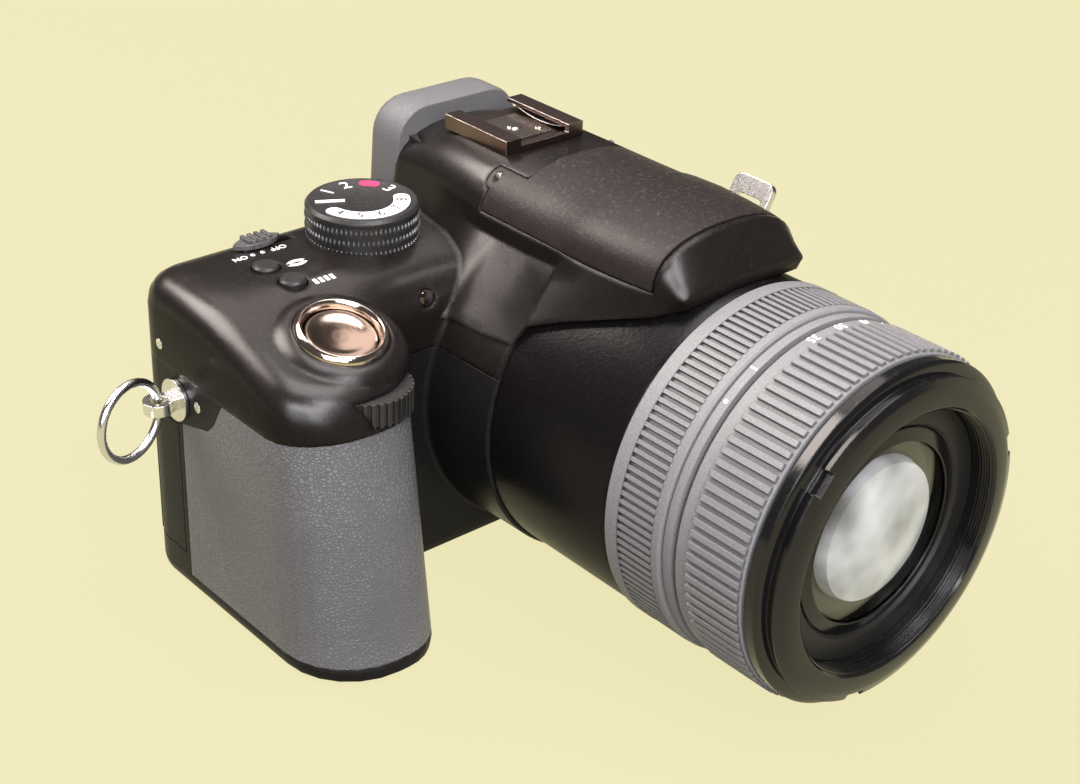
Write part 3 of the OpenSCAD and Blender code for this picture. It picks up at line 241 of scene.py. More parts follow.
def worn_edge() -> Tree:
    """Make rounded edges with a worn rim.

    Returns:
        A group with the rounded normal and a mask of the worn rim.
    """
    maker = GroupMaker("worn_edge", {"Radius": 0.0004, "Amount": 0.5}, "Normal", "Mask")
    bend_gain, patch_scale, patch_floor, patch_gain = 5.0, 420.0, 0.38, 3.0
    bevel = maker.node("ShaderNodeBevel", samples=4)
    maker.link(maker.given("Radius"), bevel.inputs["Radius"])
    true_face = maker.node("ShaderNodeNewGeometry")
    dot = maker.node("ShaderNodeVectorMath", operation="DOT_PRODUCT")
    maker.link(bevel.outputs["Normal"], dot.inputs[0])
    maker.link(true_face.outputs["Normal"], dot.inputs[1])
    bend = maker.times(maker.minus(1.0, dot.outputs["Value"]), bend_gain, clamp=True)
    patch = maker.above(maker.noise(patch_scale, 3.0), patch_floor, patch_gain)
    rim = maker.times(maker.times(bend, patch), maker.given("Amount"), clamp=True)
    maker.put("Mask", rim)
    maker.put("Normal", bevel.outputs["Normal"])
    return maker.tree


def handling() -> Tree:
    """Make the uneven sheen that hands leave, and settled dust.

    Returns:
        A group with a roughness value and a dust mask.
    """
    maker = GroupMaker("handling", {"Base": 0.4, "Spread": 0.1, "Scale": 60.0, "Dust": 0.1},
                       "Roughness", "Dust")
    level, lean_gain = 0.35, 1.4
    speck_scale, speck_floor, speck_gain = 950.0, 0.56, 6.0
    cloud = maker.noise(maker.given("Scale"), 4.0, 0.6)
    swing = maker.times(maker.minus(cloud, 0.5), maker.given("Spread"))
    sheen = maker.plus(maker.given("Base"), swing, clamp=True)
    maker.put("Roughness", sheen)
    split = maker.node("ShaderNodeSeparateXYZ")
    maker.link(maker.node("ShaderNodeNewGeometry").outputs["Normal"], split.inputs[0])
    up = maker.above(split.outputs["Z"], level, lean_gain)
    specks = maker.above(maker.noise(speck_scale, 3.0, 0.7), speck_floor, speck_gain)
    dust = maker.times(maker.times(up, specks), maker.given("Dust"), clamp=True)
    maker.put("Dust", dust)
    return maker.tree


def turned_lines() -> Tree:
    """Make the fine lathe lines of turned metal round the object's own axes.

    Returns:
        A group with the lines' height and a shade mask.
    """
    maker = GroupMaker("turned_lines", {"Scale": 900.0}, "Height", "Shade")
    wobble, cloud_scale = 1.5, 120.0
    spot = maker.node("ShaderNodeTexCoord")
    lines = maker.node("ShaderNodeTexWave", wave_type="RINGS", rings_direction="SPHERICAL")
    maker.link(spot.outputs["Object"], lines.inputs["Vector"])
    maker.link(maker.given("Scale"), lines.inputs["Scale"])
    lines.inputs["Distortion"].default_value = wobble
    maker.put("Height", lines.outputs["Fac"])
    maker.put("Shade", maker.noise(cloud_scale, 3.0))
    return maker.tree


def crevice() -> Tree:
    """Make the dark of narrow valleys, where little light reaches.

    Returns:
        A group with a mask of the valleys.
    """
    maker = GroupMaker("crevice", {"Reach": 0.001, "Amount": 1.5}, "Mask")
    open_sky = maker.node("ShaderNodeAmbientOcclusion", samples=8, only_local=True)
    maker.link(maker.given("Reach"), open_sky.inputs["Distance"])
    closed = maker.minus(1.0, open_sky.outputs["AO"])
    deep = maker.times(closed, maker.given("Amount"), clamp=True)
    maker.put("Mask", deep)
    return maker.tree


def painted_top_sheen() -> Tree:
    """Make a painted sheen by facing: tops are shinier than upright sides, so the sides mirror less of the
    room.

    Returns:
        A group with a value that rises from Side to Top as a face turns up.
    """
    maker = GroupMaker("painted_top_sheen", {"Side": 0.08, "Top": 0.4}, "Value")
    side_z, top_z = 0.1, 0.55
    split = maker.node("ShaderNodeSeparateXYZ")
    maker.link(maker.node("ShaderNodeTexCoord").outputs["Normal"], split.inputs["Vector"])
    ramp = maker.node("ShaderNodeMapRange", interpolation_type="SMOOTHSTEP")
    ramp.inputs["From Min"].default_value = side_z
    ramp.inputs["From Max"].default_value = top_z
    maker.link(split.outputs["Z"], ramp.inputs["Value"])
    maker.link(maker.given("Side"), ramp.inputs["To Min"])
    maker.link(maker.given("Top"), ramp.inputs["To Max"])
    maker.put("Value", ramp.outputs["Result"])
    return maker.tree


@dataclass
class Effects:
    """The shader groups that the finishes share."""

    grain: Tree
    leather: Tree
    edge: Tree
    handling: Tree
    lines: Tree
    crevice: Tree
    painted_top_sheen: Tree

    @classmethod
    def make(cls) -> "Effects":
        """Build every shared group once."""
        return cls(moulded_grain(), leather_grain(), worn_edge(), handling(), turned_lines(), crevice(),
                   painted_top_sheen())


EFFECTS = Effects.make()


# Finishes


class Bench:
    """One material with its shader, and short calls that add nodes to it."""

    def __init__(self, name: str) -> None:
        """Start a material that holds a shader and its output."""
        self.material = bpy.data.materials.new(name)
        self.material.use_nodes = True
        self.tree = self.material.node_tree
        self.tree.nodes.clear()
        self.shader = self.tree.nodes.new("ShaderNodeBsdfPrincipled")
        sink = self.tree.nodes.new("ShaderNodeOutputMaterial")
        self.tree.links.new(self.shader.outputs["BSDF"], sink.inputs["Surface"])

    def effect(self, tree: Tree, **values: float) -> bpy.types.Node:
        """Place a shared group with its own values."""
        made = self.tree.nodes.new("ShaderNodeGroup")
        made.node_tree = tree
        for key, value in values.items():
            made.inputs[key].default_value = value
        return made

    def mix(self, mask: Socket, first: object, second: object) -> Socket:
        """Mix two colours by a mask.

        Args:
            mask: 0 shows the first colour and 1 the second.
            first: a colour or a socket.
            second: a colour or a socket.

        Returns:
            The mixed colour.
        """
        made = self.tree.nodes.new("ShaderNodeMix")
        made.data_type = "RGBA"
        self.tree.links.new(mask, made.inputs["Factor"])
        for socket, value in ((made.inputs[6], first), (made.inputs[7], second)):
            if isinstance(value, Socket):
                self.tree.links.new(value, socket)
            else:
                socket.default_value = (*value, 1.0)
        return made.outputs[2]

    def bump(self, height: Socket, depth: float, normal: Socket | None) -> None:
        """Raise the surface by a height that is depth metres at most."""
        made = self.tree.nodes.new("ShaderNodeBump")
        made.inputs["Strength"].default_value = 1.0
        made.inputs["Distance"].default_value = depth
        self.tree.links.new(height, made.inputs["Height"])
        if normal is not None:
            self.tree.links.new(normal, made.inputs["Normal"])
        self.tree.links.new(made.outputs["Normal"], self.shader.inputs["Normal"])

    def feed(self, socket: Socket, name: str) -> None:
        """Link a socket to one of the shader's inputs."""
        self.tree.links.new(socket, self.shader.inputs[name])

    def fix(self, name: str, value: object) -> None:
        """Set one of the shader's inputs to a plain value."""
        self.shader.inputs[name].default_value = value


@dataclass(frozen=True)
class Moulded:
    """Moulded plastic with a grain, worn edges, hand sheen and dust, and where asked a painted sheen by facing.
    """

    name: str
    colour: Colour
    worn: Colour
    roughness: float
    spread: float = 0.12
    scale: float = 1700.0
    depth: float = 0.00004
    edge: float = 0.0004
    wear: float = 0.35
    dust: float = 0.12
    specular: float = 0.4
    # specular of upright faces for the painted sheen by facing; 0 leaves it off
    side: float = 0.0

    def material(self) -> Material:
        """Build the material."""
        bench = Bench(self.name)
        grain = bench.effect(EFFECTS.grain, Scale=self.scale, Contrast=1.6)
        edge = bench.effect(EFFECTS.edge, Radius=self.edge, Amount=self.wear)
        touch = bench.effect(EFFECTS.handling, Base=self.roughness, Spread=self.spread, Dust=self.dust)
        toned = bench.mix(grain.outputs["Shade"], scaled(self.colour, 0.72), scaled(self.colour, 1.3))
        rimmed = bench.mix(edge.outputs["Mask"], toned, self.worn)
        bench.feed(bench.mix(touch.outputs["Dust"], rimmed, DUST_ON_PLASTIC), "Base Color")
        bench.feed(touch.outputs["Roughness"], "Roughness")
        bench.bump(grain.outputs["Height"], self.depth, edge.outputs["Normal"])
        # painted sheen: with a side value, the specular follows facing, high on tops and low on upright sides
        if self.side:
            sheen = bench.effect(EFFECTS.painted_top_sheen, Side=self.side, Top=self.specular)
            bench.feed(sheen.outputs["Value"], "Specular IOR Level")
        else:
            bench.fix("Specular IOR Level", self.specular)
        return bench.material


@dataclass(frozen=True)
class Rubber:
    """Soft rubber with a leather grain."""

    name: str
    colour: Colour
    valley: Colour
    roughness: float
    scale: float = 900.0
    depth: float = 0.00012
    edge: float = 0.0005
    dust: float = 0.15
    specular: float = 0.35
    crevice: float = 0.0
    patchy: float = 0.06

    def material(self) -> Material:
        """Build the material."""
        bench = Bench(self.name)
        grain = bench.effect(EFFECTS.leather, Scale=self.scale)
        edge = bench.effect(EFFECTS.edge, Radius=self.edge, Amount=0.15)
        touch = bench.effect(EFFECTS.handling, Base=self.roughness, Spread=0.14, Scale=45.0,
                             Dust=self.dust)
        patch = bench.effect(EFFECTS.grain, Scale=40.0, Contrast=2.2)
        dull, bright = (scaled(self.colour, share) for share in (1 - self.patchy, 1 + self.patchy))
        pebbles = bench.mix(patch.outputs["Shade"], dull, bright)
        toned = bench.mix(grain.outputs["Valley"], pebbles, self.valley)
        rimmed = bench.mix(edge.outputs["Mask"], toned, scaled(self.colour, 1.6))
        # painted shade: the crevice mask darkens the colour in narrow valleys, where little light reaches
        if self.crevice:
            deep = bench.effect(EFFECTS.crevice, Amount=self.crevice)
            rimmed = bench.mix(deep.outputs["Mask"], rimmed, scaled(self.colour, 0.06))
        bench.feed(bench.mix(touch.outputs["Dust"], rimmed, DUST_ON_RUBBER), "Base Color")
        bench.feed(touch.outputs["Roughness"], "Roughness")
        bench.fix("Specular IOR Level", self.specular)
        bench.bump(grain.outputs["Height"], self.depth, edge.outputs["Normal"])
        return bench.material


@dataclass(frozen=True)
class Metal:
    """Polished or plain metal with fine lines."""

    name: str
    colour: Colour
    shade: Colour
    roughness: float
    scale: float = 900.0
    depth: float = 0.000004
    edge: float = 0.0003
    worn: Colour = (0.8, 0.77, 0.74)

    def material(self) -> Material:
        """Build the material."""
        bench = Bench(self.name)
        lines = bench.effect(EFFECTS.lines, Scale=self.scale)
        edge = bench.effect(EFFECTS.edge, Radius=self.edge, Amount=0.8)
        touch = bench.effect(EFFECTS.handling, Base=self.roughness, Spread=0.1, Scale=240.0, Dust=0.0)
        toned = bench.mix(lines.outputs["Shade"], self.colour, self.shade)
        bench.feed(bench.mix(edge.outputs["Mask"], toned, self.worn), "Base Color")
        bench.fix("Metallic", 1.0)
        bench.feed(touch.outputs["Roughness"], "Roughness")
        bench.bump(lines.outputs["Height"], self.depth, edge.outputs["Normal"])
        return bench.material


@dataclass(frozen=True)
class Glass:
    """Clear glass with a coloured anti-reflection coat; the second glass's clouded dark and bright colour is a
    painted reflection.
    """

    name: str
    colour: Colour
    tint_and_painted_reflection: Colour
    roughness: float = 0.02
    transmission: float = 1.0
    coat: float = 1.0
    ior: float = 1.52
    cloud: float = 30.0
    contrast: float = 1.0

    def material(self) -> Material:
        """Build the material."""
        bench = Bench(self.name)
        touch = bench.effect(EFFECTS.handling, Base=self.roughness, Spread=0.03, Scale=140.0, Dust=0.0)
        # for the second glass the two colours lie far apart, and this cloud is a painted reflection
        cloud = bench.effect(EFFECTS.grain, Scale=self.cloud, Contrast=self.contrast)
        bench.feed(bench.mix(cloud.outputs["Shade"], self.colour, self.tint_and_painted_reflection), "Base Color")
        bench.feed(touch.outputs["Roughness"], "Roughness")
        bench.fix("Transmission Weight", self.transmission)
        bench.fix("IOR", self.ior)
        bench.fix("Coat Weight", self.coat)
        bench.fix("Coat Roughness", 0.02)
        return bench.material


class Ink(Enum):
    """Colours of printed marks."""

    WHITE = (0.82, 0.82, 0.80)
    RED = (0.75, 0.03, 0.12)


@dataclass(frozen=True)
class Print:
    """Screen-printed paint, a little uneven."""

    ink: Ink

    def material(self) -> Material:
        """Build the material."""
        bench = Bench(f"print_{self.ink.name.lower()}")
        grain = bench.effect(EFFECTS.grain, Scale=2600.0, Contrast=1.0)
        thin = scaled(self.ink.value, 0.8)
        bench.feed(bench.mix(grain.outputs["Shade"], thin, self.ink.value), "Base Color")
        bench.fix("Roughness", 0.5)
        bench.bump(grain.outputs["Height"], 0.00001, None)
        return bench.material


@dataclass(frozen=True)
class Board:
    """Circuit board lacquer with paler tracks."""

    name: str
    colour: Colour
    track: Colour

    def material(self) -> Material:
        """Build the material."""
        bench = Bench(self.name)
        cells = bench.effect(EFFECTS.leather, Scale=260.0)
        bench.feed(bench.mix(cells.outputs["Valley"], self.colour, self.track), "Base Color")
        bench.fix("Roughness", 0.35)
        bench.bump(cells.outputs["Height"], 0.00002, None)
        return bench.material


class Finishes:
    """Every finish of the camera, built once and looked up by name."""

    KINDS = {
        "cover": Moulded("cover_plastic", (0.0075, 0.0068, 0.0072), (0.06, 0.055, 0.052), 0.34,
                         specular=0.08),
        # partly painted reflection: the deck's warm brown tint stands for a warm room seen in its sheen
        "deck": Moulded("deck_plastic", (0.0078, 0.006, 0.0055), (0.10, 0.088, 0.08), 0.27, depth=0.000014,
                        edge=0.0014, wear=0.1, dust=0.04, specular=0.33, side=0.07),
        # partly painted reflection: the lid's warm brown tint and lighter tone stand for a warm room seen in
        # its sheen
        "lid": Moulded("lid_plastic", (0.014, 0.011, 0.01), (0.10, 0.088, 0.08), 0.44, scale=1500.0,
                       depth=0.00005, dust=0.12, specular=0.22),
        "housing": Moulded("housing_plastic", (0.0038, 0.0032, 0.0036), (0.03, 0.028, 0.028), 0.30,
                           dust=0.04, specular=0.14),
        "control": Moulded("control_plastic", (0.014, 0.0132, 0.0135), (0.08, 0.076, 0.074), 0.36,
                           scale=2400.0, edge=0.0002, specular=0.45),
        "gloss": Moulded("gloss_black", (0.0055, 0.0052, 0.0055), (0.04, 0.04, 0.04), 0.13, spread=0.06,
                         depth=0.000006, wear=0.2, dust=0.06, specular=0.35),
        "bezel": Moulded("bezel_black", (0.009, 0.0083, 0.0083), (0.05, 0.048, 0.048), 0.42, scale=2600.0,
                         depth=0.00002, wear=0.2, dust=0.05, specular=0.25),
        # partly painted highlight: the studs are a lighter copy of the dial plastic standing in for their
        # glints; their higher specular is real
        "studs": Moulded("stud_plastic_painted_glint", (0.06, 0.058, 0.059), (0.4, 0.39, 0.39), 0.24, scale=2600.0,
                         edge=0.0002, depth=0.00001, specular=0.7),
        # the ring rubber carries painted shade in its rib valleys
        "ring": Rubber("ring_rubber", (0.19, 0.189, 0.195), (0.13, 0.129, 0.133), 0.5, scale=2600.0,
                       depth=0.00003, edge=0.00015, crevice=1.3),
        "grip": Rubber("grip_rubber", (0.125, 0.123, 0.129), (0.075, 0.074, 0.078), 0.38, scale=1300.0,
                       depth=0.00011, specular=0.36, patchy=0.4),
        "eyecup": Rubber("eyecup_rubber", (0.11, 0.108, 0.114), (0.09, 0.088, 0.093), 0.5, scale=2200.0,
                         depth=0.00004),
        # painted reflection: the chrome's warm rose tint stands for a warm room mirrored in it
        "chrome": Metal("chrome_painted_warm_reflection", (0.66, 0.55, 0.48), (0.52, 0.42, 0.36), 0.12),
        "button_mirror": Metal("bronze_mirror", (0.36, 0.27, 0.22), (0.27, 0.2, 0.165), 0.16),
        "bright": Metal("bright_steel", (0.78, 0.78, 0.77), (0.62, 0.61, 0.6), 0.2),
        "steel": Metal("plain_steel", (0.56, 0.55, 0.53), (0.42, 0.41, 0.4), 0.32),
        "rail": Metal("dark_rail", (0.22, 0.165, 0.15), (0.11, 0.08, 0.072), 0.3),
        "contact": Metal("shoe_contact", (0.6, 0.55, 0.5), (0.34, 0.28, 0.25), 0.24),
        "glass": Glass("front_glass", (0.97, 0.98, 0.99), (0.93, 0.95, 0.97), 0.02, 1.0, 0.0, 1.32),
        "inner_glass": Glass("inner_glass", (0.9, 0.96, 0.93), (0.82, 0.9, 0.92), 0.03),
        # painted reflection: an opaque element clouded dark and bright
        "second_glass_painted_reflection": Glass("second_glass_painted_reflection", (0.1, 0.1, 0.105), (0.95, 0.96, 0.99), 0.2, 0.0, 0.0, 1.45,
                              cloud=75.0, contrast=2.4),
        "screen": Glass("screen_window", (0.02, 0.02, 0.022), (0.012, 0.012, 0.014), 0.06, 0.0),
        "lamp": Glass("lamp_window", (0.016, 0.007, 0.006), (0.008, 0.004, 0.004), 0.06, 0.1),
        "frost": Glass("frosted_window", (0.86, 0.88, 0.86), (0.74, 0.76, 0.76), 0.28, 0.6),
        "white": Print(Ink.WHITE),
        "red": Print(Ink.RED),
        "board": Board("board_lacquer", (0.02, 0.12, 0.06), (0.12, 0.3, 0.16)),
        "card": Moulded("card_case", (0.02, 0.035, 0.09), (0.1, 0.12, 0.2), 0.4),
        "cell": Moulded("cell_case", (0.028, 0.028, 0.032), (0.1, 0.1, 0.1), 0.42),
    }
    made: dict[str, Material] = {}

    @classmethod
    def get(cls, name: str) -> Material:
        """Give a finish's material, building it at first use."""
        if name not in cls.made:
            cls.made[name] = cls.KINDS[name].material()
        return cls.made[name]


# Shapes


def shade_group() -> Tree:
    """Make the geometry group that joins split points and shades soft bends smooth.

    Returns:
        A geometry node group with an angle input.
    """
    tree = bpy.data.node_groups.new("soft_shading", "GeometryNodeTree")
    tree.interface.new_socket("Geometry", in_out="INPUT", socket_type="NodeSocketGeometry")
    angle = tree.interface.new_socket("Angle", in_out="INPUT", socket_type="NodeSocketFloat")
    sharp_from, weld_reach = math.radians(32), 0.000002
    angle.default_value = sharp_from
    tree.interface.new_socket("Geometry", in_out="OUTPUT", socket_type="NodeSocketGeometry")
    add, join = tree.nodes.new, tree.links.new
    source, sink = add("NodeGroupInput"), add("NodeGroupOutput")
    bare = add("GeometryNodeRemoveAttribute")
    bare.inputs["Name"].default_value = "custom_normal"
    weld = add("GeometryNodeMergeByDistance")
    weld.inputs["Distance"].default_value = weld_reach
    soft = add("GeometryNodeSetShadeSmooth")
    soft.inputs["Shade Smooth"].default_value = True
    bend = add("GeometryNodeInputMeshEdgeAngle")
    sharp = add("FunctionNodeCompare")
    sharp.data_type = "FLOAT"
    sharp.operation = "GREATER_THAN"
    crease = add("GeometryNodeSetShadeSmooth")
    crease.domain = "EDGE"
    crease.inputs["Shade Smooth"].default_value = False
    chain = (source, bare, weld, soft, crease, sink)
    for first, second in zip(chain, chain[1:]):
        join(first.outputs["Geometry"], second.inputs["Geometry"])
    join(bend.outputs["Unsigned Angle"], sharp.inputs[0])
    join(source.outputs["Angle"], sharp.inputs[1])
    join(sharp.outputs["Result"], crease.inputs["Selection"])
    return tree


SOFT_SHADING = shade_group()


def soften(piece: bpy.types.Object) -> None:
    """Shade a piece smooth over its soft bends."""
    modifier = piece.modifiers.new("soft_shading", "NODES")
    modifier.node_group = SOFT_SHADING


@dataclass
class Shape:
    """Points and faces in millimetres, before they become a piece."""

    points: list[Vector]
    faces: list[tuple[int, ...]]

    @classmethod
    def turned(cls, profile: Sequence[Pair], steps: int = 96) -> "Shape":
        """Turn a closed outline of radius and height round the Z axis, with its faces outward."""
        n = len(profile)
        area = sum(a[0] * b[1] - b[0] * a[1] for a, b in zip(profile, [*profile[1:], profile[0]]))
        if area < 0:
            profile = list(reversed(profile))
        points = [Vector((r * math.cos(a), r * math.sin(a), h))
                  for i in range(steps) for a in [2 * math.pi * i / steps] for r, h in profile]
        faces = [(i * n + k, (i + 1) % steps * n + k, (i + 1) % steps * n + (k + 1) % n, i * n + (k + 1) % n)
                 for i in range(steps) for k in range(n)]
        return cls(points, faces)

    @classmethod
    def prism(cls, outline: Sequence[Pair], low: float, high: float) -> "Shape":
        """Raise a flat outline between two heights."""
        n = len(outline)
        points = [Vector((x, y, z)) for z in (low, high) for x, y in outline]
        sides = [(k, (k + 1) % n, n + (k + 1) % n, n + k) for k in range(n)]
        return cls(points, [tuple(range(n - 1, -1, -1)), tuple(range(n, 2 * n)), *sides])

    @classmethod
    def letters(cls, text: str, height: float, thick: float) -> "Shape":
        """Draw raised figures, centred on the origin and facing up."""
        curve = bpy.data.curves.new("figures", "FONT")
        curve.body = text
        curve.size = height * 1.4
        curve.align_x = "CENTER"
        curve.align_y = "CENTER"
        curve.extrude = thick / 2
        curve.resolution_u = 4
        stand_in = bpy.data.objects.new("figures", curve)
        mesh = bpy.data.meshes.new_from_object(stand_in)
        shape = cls([v.co + Vector((0, 0, thick / 2)) for v in mesh.vertices],
                    [tuple(p.vertices) for p in mesh.polygons])
        bpy.data.objects.remove(stand_in)
        bpy.data.curves.remove(curve)
        bpy.data.meshes.remove(mesh)
        return shape

    @classmethod
    def band(cls, radius: float, width: float, start: float, end: float, low: float, high: float) -> "Shape":
        """Draw a flat arc with round ends, by its middle radius and angles in degrees."""
        steps = 24
        arc = [math.radians(start + (end - start) * i / steps) for i in range(steps + 1)]
        outer = [((radius + width / 2) * math.cos(a), (radius + width / 2) * math.sin(a)) for a in arc]
        inner = [((radius - width / 2) * math.cos(a), (radius - width / 2) * math.sin(a))
                 for a in reversed(arc)]
        caps = []
        for angle, way in ((arc[-1], 1), (arc[0], -1)):
            centre = (radius * math.cos(angle), radius * math.sin(angle))
            first = angle if way > 0 else angle + math.pi
            caps.append([(centre[0] + width / 2 * math.cos(first + math.pi * k / 8),
                          centre[1] + width / 2 * math.sin(first + math.pi * k / 8)) for k in range(1, 8)])
        return cls.prism([*outer, *caps[0], *inner, *caps[1]], low, high)

    def moved(self, matrix: Matrix) -> "Shape":
        """Give the shape in another place."""
        return Shape([matrix @ p for p in self.points], list(self.faces))

    def plus(self, *others: "Shape") -> "Shape":
        """Give this shape together with others."""
        points, faces = list(self.points), list(self.faces)
        for other in others:
            start = len(points)
            points += other.points
            faces += [tuple(start + i for i in f) for f in other.faces]
        return Shape(points, faces)

    @classmethod
    def joined(cls, shapes: Sequence["Shape"]) -> "Shape":
        """Give many shapes as one."""
        return cls([], []).plus(*shapes)

    def bent(self, radius: float, angle: float, along: float) -> "Shape":
        """Wrap a flat shape round the Z axis, its width along the turn and its height along Z."""
        start = math.radians(angle)
        points = [Vector(((radius + p.z) * math.cos(start + p.x / radius),
                          (radius + p.z) * math.sin(start + p.x / radius), along + p.y)) for p in self.points]
        return Shape(points, list(self.faces))

    def piece(self, name: str, finish: str, body: str, slot: str, *stands_for: str) -> None:
        """Make the shape a piece of the camera.

        Args:
            name: the piece's name.
            finish: the finish's name.
            body: the moving body that it rides on.
            slot: the name of a material slot; not used.
            stands_for: nodes that it replaces.
        """
        mesh = bpy.data.meshes.new(name)
        mesh.from_pydata([p * MM for p in self.points], [], self.faces)
        mesh.update()
        made = bpy.data.objects.new(name, mesh)
        bpy.context.scene.collection.objects.link(made)
        mesh.materials.append(Finishes.get(finish))
        soften(made)
        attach(made, body)
        if stands_for:
            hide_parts(*stands_for)
        LOG.info("piece %s on %s: %d faces", name, body, len(self.faces))


def dress(finish: str, *nodes: str) -> None:
    """Give CAD nodes a finish and soft shading."""
    for name in nodes:
        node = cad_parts[name]
        node.data.materials.clear()
        node.data.materials.append(Finishes.get(finish))
        soften(node)
        LOG.info("node %s: %s", name, finish)


# Sub-assemblies


@dataclass
class SubAssembly:
    """Nodes that take finishes, named by finish in one row each, and pieces of its own."""

    finishes: FinishRows = ()

    def dress(self) -> None:
        """Give each node its finish."""
        for finish, nodes in self.finishes:
            dress(finish, *nodes.split())

    def build(self) -> None:
        """Add pieces of its own, of which there may be none."""


@dataclass
class Shells(SubAssembly):
    """The covers, the grip's rubber and the base with its screws."""

    finishes: FinishRows = (
        ("cover", "front_cover rear_cover base_cover battery_door card_door"),
        ("deck", "top_cover"),
        ("grip", "grip_rubber"),
        ("eyecup", "terminal_cover"),
        ("control", "battery_latch"),
        ("lamp", "af_lamp"),
        ("steel", "tripod_socket"),
    )
    screw_r: float = 1.9
    screw_places: tuple[Pair, ...] = ((-40.0, 14.0), (44.0, 14.0), (44.0, -9.0), (-34.0, -10.0))
    side_x: float = -82.5
    side_screw_r: float = 1.1
    side_screws: tuple[Pair, ...] = ((11.0, 54.1), (-2.1, 45.6))

    def build(self) -> None:
        """Add the screws of the base and of the grip side."""
        base = [self.screw(self.screw_r, place(Turn.DOWN, (x, y, 0.0), spin=20 * x))
                for x, y in self.screw_places]
        Shape.joined(base).piece("base_screws", "steel", ROOT, "steel")
        side = [self.screw(self.side_screw_r, place(Turn.LEFT, (self.side_x, y, z), spin=30 + z))
                for y, z in self.side_screws]
        Shape.joined(side).piece("side_screws", "bright", ROOT, "steel")

    def screw(self, r: float, spot: Matrix) -> Shape:
        """Draw a domed screw head with a raised cross.

        Args:
            r: the head's radius.
            spot: its frame.

        Returns:
            The head in its place.
        """
        head = Shape.turned([(0.01, 0.12), (0.6 * r, 0.1), (r, 0.02), (r, -0.3), (0.01, -0.3)], 32)
        cross = Shape.prism(self.cross(0.18 * r, 0.62 * r), 0.05, 0.16)
        return head.plus(cross).moved(spot)

    @staticmethod
    def cross(half: float, reach: float) -> list[Pair]:
        """Outline a cross by its half width and reach."""
        a, b = half, reach
        return [(b, -a), (b, a), (a, a), (a, b), (-a, b), (-a, a),
                (-b, a), (-b, -a), (-a, -a), (-a, -b), (a, -b), (a, -a)]


